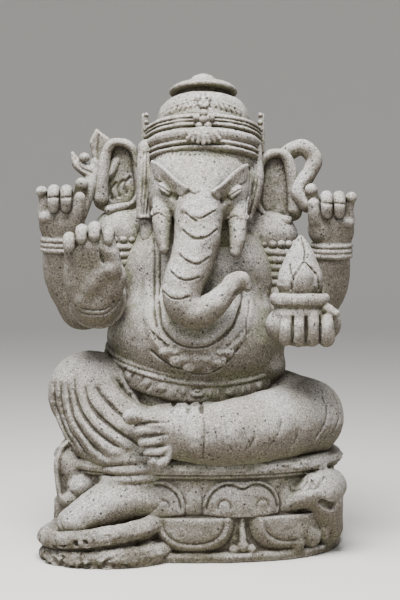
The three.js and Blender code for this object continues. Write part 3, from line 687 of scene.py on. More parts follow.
# Folds sweep from the knee down to the hem at the ankle.
FOLDS = [
    [[-134, 289], [-119, 270], [-102, 255]],
    [[-164, 277], [-149, 258], [-126, 238], [-106, 226]],
    [[-183, 277], [-177, 255], [-160, 234], [-134, 215], [-107, 198], [-92, 186]],
    [[-202, 289], [-200, 262], [-188, 236], [-168, 213], [-141, 194], [-111, 180]],
    [[-213, 277], [-209, 247], [-198, 221], [-175, 191], [-149, 170]],
    [[-226, 277], [-224, 243], [-213, 213], [-194, 187], [-182, 170]],
    [[-237, 277], [-235, 243], [-220, 206], [-203, 182]],
]
for fold in FOLDS:
    legs.groove(fold, 22, 4, 8, taper=0.5)
    legs.groove(fold, 5, 4.5, 2.5, taper=0.8)
for rise in (26, 50):
    line = [[-92 + rise, 262 + rise * 0.2], [-104 + rise, 222], [-118 + rise, 186], [-124 + rise, 166]]
    legs.groove(line, 16, 2.5, 8, "right")
    legs.groove(line, 6, 4.5, 3, "right")
for lift in (0, 22):
    legs.groove([[-60 + lift, 300], [-34 + lift, 270], [-10 + lift, 244]], 12, 3, 6, "right")
# Hem, and an anklet of two rolls and a thin one below it.
legs.add(ring((-112, -114, 165), 58, 56, 6, (0, -4, 0)), 5)
legs.add(limb([[-104, -123, 160], [-101, -121, 112]], [51, 53]), 3)
for z, thick in ((150, 7.5), (135, 7.5), (124, 4)):
    legs.add(ring((-103, -122, z), 54, 53, thick, (0, -4, 0)), 1.5)
# Right foot, turned outwards and worn smooth, its heel under the ankle.
legs.add(limb([[-72, -126, 96], [-118, -142, 98], [-164, -162, 81], [-198, -176, 65]], [50, 48, 39, 29],
              (0, 0, 1, 0.86)), 6)
legs.add(ball((-74, -130, 94), (44, 44, 30)), 8)
legs.groove([[-222, 78], [-219, 63], [-198, 53], [-150, 59], [-108, 65], [-56, 80]], 6, 2, 4, taper=0.4)
for n in range(4):
    legs.groove([[-214 + 9 * n, -150 - 10 * n], [-196 + 9 * n, -142 - 10 * n]], 5, 2.4, 3, "top", 0.6)

legs.add(limb([[60, 0, 232], [126, -14, 231], LEFT_KNEE], [66, 67, 64]))
calf = [LEFT_KNEE, [122, -116, 213], [50, -158, 207], [8, -165, 205]]
legs.add(limb(calf, [64, 61, 53, 47]), 10)
legs.add(ball((0, -92, 222), (110, 64, 38)), 12)
legs.add(limb([[14, -166, 206], [-22, -172, 208], [-46, -176, 211]], [46, 44, 37], FLAT_FOOT), 4)
# Ankle bone and heel, and the toes one under the other against the right shin.
legs.add(ball((10, -196, 232), (12, 8, 10)), 6)
TOES = [(239, -120, 12.5), (217, -105, 11), (199, -96, 10), (182, -87, 9.5), (167, -80, 9)]
for z, tip, r in TOES:
    root = 207 + (z - 207) * 0.25
    legs.add(limb([[-38, -184, root], [tip + 24, -195, z], [tip + r, -192, z - 1]], [r, r * 0.92, r]), 3)
    legs.add(ball((tip + r * 1.1, -200, z + 1), (r * 0.5, 3.5, r * 0.42)), 1.5)
for z in (229, 209, 191, 175):
    legs.groove([[-96, z - 1], [-76, z + 1], [-50, z + 2]], 4.4, 3, 2.5, taper=0.7)
# Hem with two thin bands above the ankle, and scored lines on the shin.
legs.groove([[2, 256], [8, 243], [9, 219], [9, 190], [6, 172]], 4.4, 2, 2)
for x in (26, 34, 42):
    legs.groove([[x - 2, 252], [x + 3, 212], [x + 7, 172]], 4, 1.6, 1.5, taper=0.4)
SCORES = [
    [[134, 240], [130, 215], [107, 180]],
    [[92, 214], [86, 198], [72, 180]],
    [[164, 216], [158, 195], [141, 178]],
    [[199, 210], [192, 190], [176, 172]],
    [[222, 222], [216, 200], [204, 184]],
]
for score in SCORES:
    legs.groove(score, 4.6, 1.7, 2, taper=0.6)
for n in range(4):
    legs.groove([[-96 + 26 * n, 262], [-108 + 26 * n, 232], [-124 + 26 * n, 196]], 4, 2, 3, "left")
# Pleats of the cloth fan out on the lap.
PLEATS = [
    [[-64, 268], [-96, 250]],
    [[-48, 266], [-74, 247]],
    [[-30, 263], [-44, 245]],
    [[-12, 262], [-17, 245]],
    [[4, 262], [6, 244]],
]
for pleat in PLEATS:
    legs.groove(pleat, 6, 3.5, 3, taper=0.6)
finish_piece("legs", legs, 110000, 13)

# The body: a full belly and hips over the lap, a chest behind the trunk, and broad shoulders. A
# belt with medallions hangs low under the belly, and a collar lies on the chest, both in relief.
BELLY_AT = (-2, -18, 352)
BELLY_R = (152, 133, 108)


def belly_spot(around, z, out):
    """A spot on the belly, by its direction from the front to the figure's left."""
    share = math.sqrt(max(0, 1 - ((z - BELLY_AT[2]) / BELLY_R[2]) ** 2))
    x = (BELLY_R[0] * share + out) * math.sin(around)
    return [BELLY_AT[0] + x, BELLY_AT[1] - (BELLY_R[1] * share + out) * math.cos(around), z]


def belt_spot(around, out, rise):
    sin = math.sin(around)
    x, y, z = belly_spot(around, 308 - 22 * math.cos(around) + 11 * sin * sin - 10 * sin, out)
    return [x, y, z + rise]


def belt_line(out, rise):
    return [belt_spot(math.radians(a), out, rise) for a in range(0, 361, 12)]


torso = Block((-190, -190, 200), (190, 156, 614), 1.7)
torso.add(ball((0, -4, 236), (152, 122, 80)), 1)
torso.add(ball((114, -38, 306), (34, 48, 33)), 10)
torso.add(ball(BELLY_AT, BELLY_R), 12)
torso.add(ball((0, 6, 452), (138, 96, 118)), 20)
torso.add(limb([[-126, 22, 528], [0, 34, 552], [126, 22, 520]], [46, 56, 46]), 12)
# Belt: a flat band between two rolls above it and a thin one below.
for rise in (-28, -19, -10):
    torso.add(limb(belt_line(-2, rise), [8], steps=2), 6)
torso.add(limb(belt_line(3, 7), [4.6], steps=2), 1.5)
torso.add(limb(belt_line(4, -2), [4.8], steps=2), 1.5)
torso.add(limb(belt_line(2, -31), [2.6], steps=2), 2)
# The band's round bosses with upright bars between them, and an oval with an inner ring in front.
for n in range(-6, 7):
    around = 0.45 * n
    wide = 13 if n == 0 else 9
    turn = (0, 0, math.degrees(around))
    torso.add(ball(belt_spot(around, 5, -18), (wide, 4.5, 8.5), turn), 1)
    for a in (-0.17, -0.27, 0.17, 0.27):
        torso.add(ball(belt_spot(around + a, 4, -18), (4, 4, 9), turn), 1.5)
oval = [[-1 + 7.5 * math.sin(a), 273 + 3.6 * math.cos(a)] for a in np.linspace(0, 2 * math.pi, 13)]
torso.groove(oval, 3.2, 2)
# Leaves of the belt's clasp over the right hip.
for n in range(4):
    torso.groove([[-76 - 13 * n, 284 + 9 * n], [-86 - 13 * n, 270 + 9 * n]], 5, 1.8, 2.5, taper=0.7)
# Collar: a smooth roll round the chest, a cut line, and a border of cloud shapes under it.
NECKLINE = [[-66, 520], [-64, 492], [-64, 440], [-63, 402], [-59, 378], [-48, 362], [-30, 349],
            [-6, 344], [16, 347], [36, 358], [51, 371], [63, 390], [72, 420], [76, 460]]
torso.ridge([[x * 0.84, z + 9] for x, z in NECKLINE], 24, 4, 6)
BORDER = [[-80, 500], [-82, 440], [-80, 392], [-70, 360], [-54, 338], [-32, 324], [-2, 318],
          [28, 326], [52, 342], [70, 362], [82, 392], [86, 430]]
torso.ridge(BORDER, 30, 3, 3)
torso.ridge([[x * 0.8, z - 6] for x, z in BORDER[3:10]], 26, 3, 4)
torso.groove(NECKLINE, 4.4, 3.6)
torso.groove([[x - 8, z] for x, z in NECKLINE[:5]], 3.6, 2)
for n in range(5):
    strand = [[-78 + 6 * n, 372 - 5 * n], [-66 + 7 * n, 354 - 5 * n], [-56 + 8 * n, 340 - 3 * n]]
    torso.groove(strand, 3.4, 2.6, taper=0.3)
    torso.groove([[76 - 6 * n, 378 - 7 * n], [68 - 6 * n, 358 - 4 * n]], 3.4, 1.8, taper=0.5)
# Clouds along the border, flat and close together, every other one with a line cut into it.
CLOUDS = [(-53, 338, 12), (-35, 322, 13), (-15, 311, 11), (-3, 326, 13), (15, 309, 12), (33, 322, 14),
          (51, 335, 10), (-20, 327, 11), (13, 327, 11), (-38, 337, 9), (36, 338, 9)]
for x, z, r in CLOUDS:
    torso.stud([x, z], (r, 7, r * 0.75), 4, 1.2)
for x, z, r in CLOUDS[1::2]:
    torso.groove([[x - 0.5 * r, z + 1], [x, z + 0.4 * r], [x + 0.5 * r, z]], 3.2, 1.6, 1, taper=0.4)
torso.groove([[85, 420], [84, 406], [80, 387], [80, 365]], 3.6, 2.4)
LOWER_EDGE = [[-76, 338], [-62, 326], [-42, 313], [-23, 307], [-3, 300], [25, 303], [45, 318], [66, 342]]
torso.groove(LOWER_EDGE, 4.4, 3)
# The sash falls down the back from the belt.
torso.add(limb([[0, 100, 322], [-2, 112, 256], [-4, 116, 180]], [17, 24, 32], (0, 1, 0, 0.5)), 3)
torso.add(ball((0, 110, 316), (20, 13, 14)), 3)
for x in (-14, -5, 4, 13):
    torso.groove([[x * 0.6, 296], [x * 0.9, 250], [x * 1.3, 190]], 3.4, 2, 1.5, "back")
torso.groove([[0, 520], [0, 460], [0, 400], [0, 350]], 14, 4, 12, "back")
finish_piece("torso", torso, 115000, 14)

# Front right arm, cut free of the chest below the shoulder: an armlet of stacked rolls, the forearm
# straight forward, and the open palm held up to face the viewer, with the four fingertips curled.
# Beads that follow a line, here the scallops of the armlet, are set by Geometry Nodes.


def upper_arm(block, side, shoulder, elbow):
    block.add(limb([[side * 124, 12, shoulder], [side * 128, 16, 462], elbow], [42, 44, 45]), 2)
    block.add(ball((side * 124 - 5, 12, shoulder + 6), (50, 38, 44)), 16)
    for n in range(6):
        z = shoulder - 20 - 13 * n
        block.add(ring((side * (127 + 1.5 * n), 14, z), 44, 44, 7, (0, side * 4, 0)), 2)


def bead_tree():
    """A Geometry Nodes tree that sets round beads at even distances along a line."""
    tree = bpy.data.node_groups.new("carved_beads", "GeometryNodeTree")
    kinds = {"Line": "Geometry", "Spacing": "Float", "Radius": "Float", "Seed": "Int", "Stone": "Material"}
    for name, kind in kinds.items():
        tree.interface.new_socket(name, in_out="INPUT", socket_type="NodeSocket" + kind)
    tree.interface.new_socket("Beads", in_out="OUTPUT", socket_type="NodeSocketGeometry")
    given = tree.nodes.new("NodeGroupInput").outputs
    path = add_node(tree, "GeometryNodeMeshToCurve", None, Mesh=given["Line"]).outputs[0]
    by_length = {"mode": "LENGTH"}
    even = add_node(tree, "GeometryNodeResampleCurve", by_length, Curve=path, Length=given["Spacing"])
    bead = add_node(tree, "GeometryNodeMeshIcoSphere", None, Radius=given["Radius"], Subdivisions=3)
    between = {"_2": 0.85, "_3": 1.1, "_8": given["Seed"]}
    size = add_node(tree, "FunctionNodeRandomValue", {"data_type": "FLOAT"}, **between)
    parts = {"Points": even.outputs[0], "Instance": bead.outputs[0], "Scale": size.outputs[1]}
    rows = add_node(tree, "GeometryNodeInstanceOnPoints", None, **parts).outputs[0]
    real = add_node(tree, "GeometryNodeRealizeInstances", None, Geometry=rows).outputs[0]
    done = add_node(tree, "GeometryNodeSetMaterial", None, Geometry=real, Material=given["Stone"]).outputs[0]
    tree.links.new(done, tree.nodes.new("NodeGroupOutput").inputs[0])
    return tree


beads_on_a_line = bead_tree()


def beads(name, line, spacing, radius, seed, block):
    """A row of beads carved along a line on a block of the stone, with painted shade round their feet where
    they meet it.
    """
    line = np.array(line)
    path = bpy.data.meshes.new(name + "_line")
    path.from_pydata((line * MM).tolist(), [(n, n + 1) for n in range(len(line) - 1)], [])
    raw = bpy.data.objects.new(name + "_line", path)
    bpy.context.scene.collection.objects.link(raw)
    modifier = raw.modifiers.new("beads", "NODES")
    modifier.node_group = beads_on_a_line
    values = {"Spacing": spacing * MM, "Radius": radius * MM, "Seed": seed, "Stone": tuff}
    for socket in beads_on_a_line.interface.items_tree:
        if socket.name in values:
            modifier[socket.identifier] = values[socket.name]
    mesh, spots = plain_mesh(raw, name)
    # Spots close to the stone get high hollow values, which the material darkens as painted shade; those
    # further off are lightened a little as worn stone with a painted highlight.
    foot = 1.6 * np.exp(-((block.value(spots) / 1.8) ** 2)) - 0.4
    note(mesh, "hollow", foot.astype(np.float32))
    show(name, mesh, spots)


def armlet_top(name, side, shoulder, seed, block):
    """Scallops round the upper edge of an armlet."""
    angles = np.linspace(0, 2 * math.pi, 49)
    loop = [(side * 126 + 44 * math.sin(a), 14 - 44 * math.cos(a), shoulder - 7) for a in angles]
    beads(name, loop, 14, 7.5, seed, block)


right_arm = Block((-228, -212, 356), (-74, 70, 590), 1.5)
upper_arm(right_arm, -1, 524, (-154, 4, 417))
right_arm.add(limb([[-154, 4, 417], [-163, -60, 418], [-164, -128, 420]], [46, 43, 41]), 4)
for y in (-96, -110, -123):
    right_arm.add(ring((-164, y, 419), 42, 42, 4.5, (90, 0, 0)), 2)
PALM = [[-165, -132, 432], [-166, -150, 458], [-168, -166, 490]]
right_arm.add(limb(PALM, [42, 48, 44], (0, 0.93, 0.36, 0.6)), 6)
right_arm.add(ball((-142, -158, 444), (23, 19, 38), (14, 28, 0)), 8)
right_arm.add(ball((-197, -158, 448), (17, 16, 42), (14, -4, 0)), 8)
right_arm.cut(ball((-174, -196, 474), (20, 12, 26), (14, 0, 0)), 10)
FINGERS = [(-203, 517, 11), (-184, 530, 10.5), (-163, 534, 11), (-141, 528, 10)]
for x, z, r in FINGERS:
    root = -166 + (x + 166) * 0.85
    path = [[root, -166, z - 40], [x, -170, z - 8], [x, -180, z + 4], [x, -193, z + 1], [x, -197, z - 9]]
    right_arm.add(limb(path, [r, r * 0.98, r * 0.96, r * 0.9, r * 0.8]), 3)
right_arm.add(limb([[-201, -174, 504], [-184, -178, 516], [-163, -178, 520], [-143, -176, 514]], [10]), 4)
THUMB = [[-136, -160, 446], [-134, -180, 478], [-139, -188, 498], [-142, -190, 506]]
right_arm.add(limb(THUMB, [15, 11, 11, 9]), 3)
right_arm.groove([[-154, 500], [-150, 484], [-138, 476]], 5, 4, 2, taper=0.4)
right_arm.ridge([[-141, 476], [-160, 452], [-188, 420]], 26, 5, 9)
right_arm.groove([[-204, 411], [-190, 402], [-168, 398], [-147, 400], [-130, 414], [-123, 428]], 3.4, 2, 1.5)
right_arm.groove([[-207, 420], [-190, 410], [-168, 406], [-147, 408], [-133, 421]], 3.4, 2, 1.5)
finish_piece("front_right_arm", right_arm, 70000, 15, 0.5)
armlet_top("right_armlet_scallops", -1, 524, 31, right_arm)

# Front left arm, cut free of the body like the right one: the hand is held palm up, its fingers
# curled round a bowl that holds a lotus bud. Bowl and bud are part of the same stone.
BOWL_AT = (165, -142)
left_arm = Block((74, -202, 336), (240, 66, 574), 1.5)
upper_arm(left_arm, 1, 516, (150, 4, 405))
left_arm.add(limb([[150, 4, 405], [160, -60, 396], [168, -112, 389]], [44, 42, 38]), 4)
left_arm.add(limb([[140, -136, 380], [172, -140, 379], [202, -136, 383]], [31, 33, 30]), 8)
BOWL = [[0, 376], [43, 378], [44, 400], [42, 409], [44, 413], [48, 416], [49, 422], [48, 428],
        [43, 433], [0, 433]]
left_arm.add(turned(BOWL, (*BOWL_AT, 0), (1, 0.88)), 2)
# The bud: closed petals that overlap, wide at the foot and drawn out to a point.
BUD_CORE = [[0, 428], [33, 430], [38, 446], [34, 468], [22, 496], [10, 516], [3, 525], [0, 526]]
left_arm.add(turned(BUD_CORE, (*BOWL_AT, 0), (1, 0.86)), 2)
BUD_PETALS = [(0, 484, 26), (-62, 474, 17), (62, 476, 19), (125, 478, 22), (-125, 478, 22)]
for turn, high, wide in BUD_PETALS:
    way = np.array([math.sin(math.radians(turn)), -0.86 * math.cos(math.radians(turn)), 0])
    foot = np.array([*BOWL_AT, 434]) + way * 24
    top = np.array([*BOWL_AT, high]) + way * 25
    middle = (foot + top) / 2 + way * 6
    left_arm.add(limb([foot, middle, top], [wide * 0.7, wide * 0.72, 4], (way[0], way[1], 0, 0.55)), 1.2)
left_arm.groove([[167, 522], [171, 502], [170, 486]], 3.4, 3)
left_arm.groove([[168, 483], [158, 470], [151, 456], [150, 436]], 3.4, 3)
left_arm.groove([[170, 483], [184, 470], [192, 458], [194, 440]], 3.4, 3)
left_arm.groove([[146, 478], [148, 462], [149, 440]], 3.4, 2.6)
CURLED = [(140, 394, 9.5), (161, 405, 11), (183, 411, 11), (206, 402, 11.5)]
for x, top, r in CURLED:
    finger = [[x, -156, 358], [x, -172, 362], [x, -176, 380], [x, -170, top - r]]
    left_arm.add(limb(finger, [r * 1.05, r * 1.1, r, r * 0.86]), 2.5)
for x in (150.5, 172, 194.5):
    left_arm.groove([[x, 396], [x, 376], [x, 355]], 5, 7, 2, taper=0.4)
left_arm.add(limb([[186, -152, 408], [204, -160, 409], [219, -164, 400]], [8, 9, 8]), 2)
finish_piece("front_left_arm", left_arm, 80000, 16, 0.5)
armlet_top("left_armlet_scallops", 1, 516, 32, left_arm)

# Rear arms, raised from elbows close to the body, with three bracelets each. Their hands are
# closed, the right one round a trident and the left one round a noose of thick rope.
WRISTS = {-1: (232, 513), 1: (227, 503)}


def rear_arm(block, side):
    wide, high = WRISTS[side]

    def at(x, y, z):
        return [side * (wide + x), y, high + z]

    elbow = [side * 198, 20, 403]
    block.add(limb([[side * 108, 44, 490], [side * 152, 38, 436], elbow], [46, 43, 40]), 3)
    block.add(limb([elbow, at(-5, 6, -62), at(0, -12, -10), at(0, -16, 16)], [40, 36, 31, 29]), 8)
    for z in (-12, -4, 5):
        block.add(ring(at(0, -13, z), 32, 30, 4.6, (6, 0, 0)), 1.5)
    # Palm, its heel, and the mound under the folded fingers.
    block.add(limb([at(0, -16, 8), at(-1, -24, 34), at(-2, -26, 56)], [29, 38, 34], (0, 1, 0, 0.66)), 4)
    block.add(ball(at(18, -36, 42), (18, 14, 13)), 5)
    block.add(ball(at(-24, -26, 34), (16, 16, 22), (0, side * 20, 0)), 6)
    # Little finger up, the next two folded over the palm, thumb and forefinger meeting.
    block.add(limb([at(28, -34, 50), at(27, -38, 66), at(29, -40, 82), at(30, -44, 85)], [9.5, 8, 8, 9.5]), 3)
    for x, r in ((9, 10.5), (-12, 10.5)):
        path = [at(x, -28, 62), at(x, -38, 84), at(x, -52, 84), at(x, -57, 70), at(x, -55, 58)]
        block.add(limb(path, [r, r, r * 0.95, r * 0.9, r * 0.8]), 2)
        block.groove([at(x + 8, 0, 74)[::2], at(x - 8, 0, 75)[::2]], 3, 1.8, 1.5)
    block.add(limb([at(-22, -32, 26), at(-31, -42, 54), at(-34, -46, 74)], [15, 12.5, 10]), 4)
    block.add(limb([at(-26, -26, 54), at(-33, -28, 80), at(-36, -34, 96)], [12.5, 11.5, 10]), 3)
    block.add(ball(at(-37, -36, 98), (11, 10, 11)), 2)


rear_right = Block((-280, -84, 350), (-80, 96, 716), 1.7)
rear_arm(rear_right, -1)
rear_right.add(limb([[-200, -26, 560], [-185, -12, 606], [-172, 0, 650]], [13, 13, 10]), 3)
BLADE = [[-4, 56], [-16, 33], [-12, 12], [-7, -8], [7, -8], [14, 14], [20, 38]]
rear_right.add(plate(BLADE, 20, (-169, 2, 650), 5), 2)
rear_right.add(limb([[-162, -2, 626], [-186, -6, 632], [-204, -8, 645], [-213, -8, 664]], [12, 12, 10, 3]), 3)
rear_right.add(limb([[-170, -2, 622], [-150, 2, 632], [-140, 4, 650]], [12, 11, 8]), 3)
rear_right.add(ball((-193, -14, 656), (9.5, 10, 9)), 1.5)
rear_right.groove([[-168, 694], [-170, 672], [-170, 652]], 3, 2, 1.5)
rear_right.groove([[-208, 654], [-198, 638], [-180, 630]], 2.6, 1.8, 1.5)
finish_piece("rear_right_arm", rear_right, 60000, 17, 0.5)

rear_left = Block((80, -84, 350), (280, 96, 712), 1.7)
rear_arm(rear_left, 1)
ROPE = [[146, 26, 640], [153, 12, 663], [178, 0, 674], [197, -4, 655], [191, -10, 633],
        [178, -14, 615], [171, -18, 597], [184, -26, 576]]
rear_left.add(limb(ROPE, [12, 14, 14, 14, 13, 14, 14, 13]), 2)
finish_piece("rear_left_arm", rear_left, 60000, 18, 0.5)

# The head: a broad forehead, wedge-shaped brows over narrow bulging eyes, cheeks that run down into
# the sheaths of the short tusks, and the trunk curling to the figure's left over the chest.
FACE_X = 3
TRUNK = [[3, -50, 624], [2, -88, 598], [1, -114, 560], [-2, -134, 516], [-11, -148, 480], [-24, -160, 446],
         [-23, -168, 416], [0, -172, 403], [26, -170, 416], [44, -168, 434], [60, -164, 449]]
TRUNK_R = [44, 44, 40, 37, 35, 33, 30, 26, 21, 17, 16]
LEFT_LOWER = 5  # the left side of the face sits lower in mm


def face_side(side):
    """Places spots of the face on one side of it, by their distance out from its middle."""
    low = LEFT_LOWER if side > 0 else 0
    return lambda x, y, z: [FACE_X + side * x, y, z - low]


head = Block((-110, -212, 368), (116, 110, 732), 1.5)
head.add(ball((FACE_X, -12, 616), (92, 100, 78)), 1)
head.add(limb([[0, 20, 610], [0, 26, 540]], [84, 80]), 10)
for side in (-1, 1):
    at = face_side(side)
    head.add(limb([at(26, -50, 612), at(30, -56, 588), at(30, -46, 540)], [54, 55, 42]), 14)
head.add(limb(TRUNK, TRUNK_R), 12)
for side in (-1, 1):
    at = face_side(side)
    # Brow: a wedge with a sharp crest, which overhangs a narrow bulging eye in a hollow.
    head.cut(limb([at(38, -120, 588), at(52, -118, 592), at(68, -106, 602)], [6, 9, 6]), 5)
    crest = [at(x, 0, z)[::2] for x, z in ((73, 643), (62, 637), (42, 619), (18, 599))]
    sill = [at(x, 0, z)[::2] for x, z in ((72, 621), (58, 612), (44, 599), (28, 591))]
    crest, sill = head.onto(crest, 6.5, "front"), head.onto(sill, -1, "front")
    head.slab(crest, sill, 7, 7, 1)
    head.cut(limb([at(38, -116, 586), at(52, -114, 590), at(66, -104, 598)], [4, 7, 4]), 3)
    head.add(ball(at(57, -104, 601), (15, 10, 7.5), (0, -side * 38, side * 20)), 1)
    head.groove([at(69, 0, 607)[::2], at(58, 0, 600)[::2], at(46, 0, 592)[::2]], 3.2, 1.8, taper=0.5)
    # Tusk and the rolled edge of its sheath.
    tusk = [at(62, -84, 576), at(62, -104, 546), at(61, -113, 522), at(58, -119, 503)]
    head.add(limb(tusk, [17, 15.5, 13, 9]), 2)
    head.add(ring(at(62, -96, 561), 17, 15, 2, (30, 0, 0)), 3)
SHEATH_EDGES = [[[-78, 554], [-66, 561], [-54, 556], [-45, 546]], [[48, 550], [60, 557], [72, 550]]]
for edge in SHEATH_EDGES:
    head.groove(edge, 3.4, 2.2)
# The double swelling of the forehead over the root of the trunk, and a shallow notch.
for side in (-1, 1):
    head.add(ball((FACE_X + side * 13, -92, 616), (24, 22, 18)), 12)
head.groove([[-14, 597], [-6, 592], [2, 596]], 3, 1.6, 2)
# Wrinkles across the trunk.
WRINKLES = [
    [[-20, 565], [-5, 555], [6, 553], [28, 565]],
    [[-20, 561], [-12, 554], [-3, 549]],
    [[-25, 534], [-13, 524], [3, 520], [18, 525], [31, 535]],
    [[-31, 496], [-17, 485], [0, 480], [18, 489]],
    [[-44, 469], [-33, 459], [-18, 455], [2, 459]],
    [[-56, 436], [-42, 427], [-29, 426], [-16, 429]],
]
for wrinkle in WRINKLES:
    head.ridge([[x, z + 5] for x, z in wrinkle], 12, 0.9, 6)
    head.groove(wrinkle, 3.2, 2.4, 1.5)
# Tip of the trunk: a flared lip round a dark hollow that faces down and to the left.
head.add(limb([[56, -164, 450], [70, -168, 457], [79, -168, 443]], [16, 12, 7.5]), 4)
head.cut(ball((67, -180, 433), (13, 16, 8), (0, -35, 0)), 2)
# Side locks: straight bands of hair beside the face, scored lengthwise.
for side, foot in ((-1, (-90, -40, 556)), (1, (82, -46, 552))):
    path = [[FACE_X + side * 88, -20, 670], [FACE_X + side * 90, -34, 610], foot]
    head.add(limb(path, [17, 17, 14 if side < 0 else 9], (0, 1, 0, 0.9)), 2)
    head.cut(ball((foot[0], foot[1] - 4, foot[2] - 14), (26, 26, 12)), 1)
    for n in (-1, 0, 1):
        head.groove([[path[0][0] + 6 * n, 664], [path[1][0] + 6 * n, 612], [foot[0] + 5 * n, 560]], 3, 3, 1.5)
head.add(limb([[-86, -28, 552], [-84, -38, 520]], [13, 12], (0, 1, 0, 0.7)), 2)
# Strip of rough hair under the crown.
hair = ring((FACE_X + 4, -1, 648), 88, 87, 8, (-13, 0, 0))
head.add(hair, 3)
for n in range(46):
    angle = -1.9 + 3.8 * n / 45
    x, y = FACE_X + 4 + 96 * math.sin(angle), -1 - 95 * math.cos(angle)
    head.cut(limb([[x, y, 634 - y * 0.23], [x + 3, y, 668 - y * 0.23]], [1.6]), 1.5)
# Hair falls from the crown down the back of the neck.
head.add(limb([[4, 66, 640], [2, 88, 590], [0, 96, 508]], [44, 38, 22], (0, 1, 0, 0.5)), 6)
for n in range(-3, 4):
    head.groove([[11 * n, 640], [9 * n, 580], [5 * n, 500]], 5, 3, 3, "back")
finish_piece("head", head, 125000, 19, 0.6)

# Ears: broad leaves of stone behind the face, with a thick rolled rim and a thin foot ridge. Each is
# hollowed inside its rim, and the left one sits lower than the right.
EAR_OUTLINE = [(-98, 640), (-102, 668), (-118, 686), (-140, 688), (-158, 676), (-168, 646), (-172, 612),
               (-178, 588), (-172, 570), (-150, 562), (-122, 560), (-104, 570), (-94, 600)]
EAR_RIM = [(104, 646, 4), (110, 668, 6), (124, 679, 7), (142, 680, 8), (153, 668, 9), (160, 642, 10),
           (163, 612, 11), (165, 586, 13)]  # distance out, height and radius


def ear(side, low, seed):
    block = Block((-188 if side < 0 else 76, -44, 536), (-76 if side < 0 else 188, 46, 704), 1.4)
    outline = curve(np.array([*EAR_OUTLINE, EAR_OUTLINE[0]], float), 4)[:-1] * [-side, 1] - [0, low]

    def hollow(rim):
        return -10 * step(-rim, 8, 15)

    block.add(plate(outline if side < 0 else outline[::-1], 30, (0, 6, 0), 9, hollow), 1)
    block.add(limb([[side * x, -8, z - low] for x, z, _ in EAR_RIM], [r for _, _, r in EAR_RIM]), 3)
    foot = [[side * 102, -6, 592 - low], [side * 116, -8, 576 - low], [side * 150, -8, 566 - low]]
    block.add(limb(foot, [4, 5, 9]), 3)
    if side < 0:
        for x, z in ((-122, 596), (-134, 590), (-146, 586)):
            block.groove([[x, z - low], [x - 3, z + 14 - low], [x + 6, z + 26 - low]], 3.4, 2.4, 3)
    finish_piece("right_ear" if side < 0 else "left_ear", block, 32000, seed, 0.5)


ear(-1, -1, 20)
ear(1, 17, 21)

# The crown: a band between rolls, a low dome and an overhanging cap with a knob. It leans back. A
# flower on a fan of leaves is set on the front, and a beaded crest stands up at each side.
CROWN_AT = (9, 0, 668)
CROWN_LEAN = (-13, 0, 0)
CROWN_PROFILE = [
    [0, -40], [89, -40], [91, -25], [97, -23], [100, -19], [98, -16], [94, -14.5], [99, -13], [101, -10],
    [99, -7.5], [96, -6], [100, 1], [101, 8], [98, 13], [93, 15], [98, 17], [100, 19.5], [98, 22.5],
    [94, 24], [99, 26], [99, 28], [94, 29.5], [99, 31.5], [99, 35], [94, 39], [81, 41], [79, 56],
    [74, 72], [64, 84], [53, 89], [44, 92], [44, 99], [58, 101], [59, 105], [50, 112], [36, 118],
    [26, 120], [24, 124], [18, 130], [9, 134], [0, 135.5],
]  # the band's rolls, the dome, the neck of the cap, the cap and its knob


def crown_spot(x, y, z):
    return turn_matrix(CROWN_LEAN) @ np.array([x, y, z], float) + np.array(CROWN_AT)


crown = Block((-112, -136, 610), (130, 148, 806), 1.6)
crown.add(turned(CROWN_PROFILE, CROWN_AT, (1, 0.97), CROWN_LEAN), 1)
# Fan of leaves under the flower.
for n in range(-3, 4):
    foot = crown_spot(3 * n, -100, 8)
    tip = crown_spot(8.5 * n, -101 + abs(n), -16 + 3 * abs(n))
    crown.add(limb([foot, (foot + tip) / 2, tip], [5, 6.5, 4]), 1)
# Leaf wings in low relief on the dome, with a palmette between them.
for side in (-1, 1):
    wing = [[CROWN_AT[0] + side * x, z] for x, z in ((4, 753), (20, 748), (38, 743), (60, 735))]
    crown.ridge([[x, z - 6] for x, z in wing], 16, 2.6, 3)
    crown.ridge(wing, 5, 3, 1.5)
    for n in range(6):
        x = CROWN_AT[0] + side * (7 + 9 * n)
        crown.groove([[x, 747 - 2 * n], [x + side * 5, 736 - 2 * n]], 2.6, 2.4, 1)
for x in (-9, 0, 9):
    leaf = [[CROWN_AT[0] + x * share, z] for share, z in ((0.4, 738), (1, 750), (0.8, 761 - abs(x) * 0.5))]
    crown.ridge(leaf, 7, 4, 1.5)
# Side crests: upright wings that sweep back from a beaded front edge.
CREST = [[-6, 0], [-6, 64], [0, 68], [12, 62], [26, 48], [36, 30], [40, 10], [38, 0]]


def sideways(shape):
    """A shape with its X and Y exchanged."""
    low, high = shape.low[[1, 0, 2]], shape.high[[1, 0, 2]]
    return Shape(low, high, lambda x, y, z: shape.distance(y, x, z))


for side in (-1, 1):
    x = CROWN_AT[0] + side * 99
    crown.add(sideways(plate(CREST, 11, (0, x, 664), 3)), 2)
    seen_from = "right" if side < 0 else "left"
    for n in range(4):
        crown.groove([[8 + 5 * n, 676], [4 + 7 * n, 690], [2 + 8 * n, 706 - 5 * n]], 3, 2, 1.5, seen_from)
finish_piece("crown", crown, 85000, 22, 0.5)
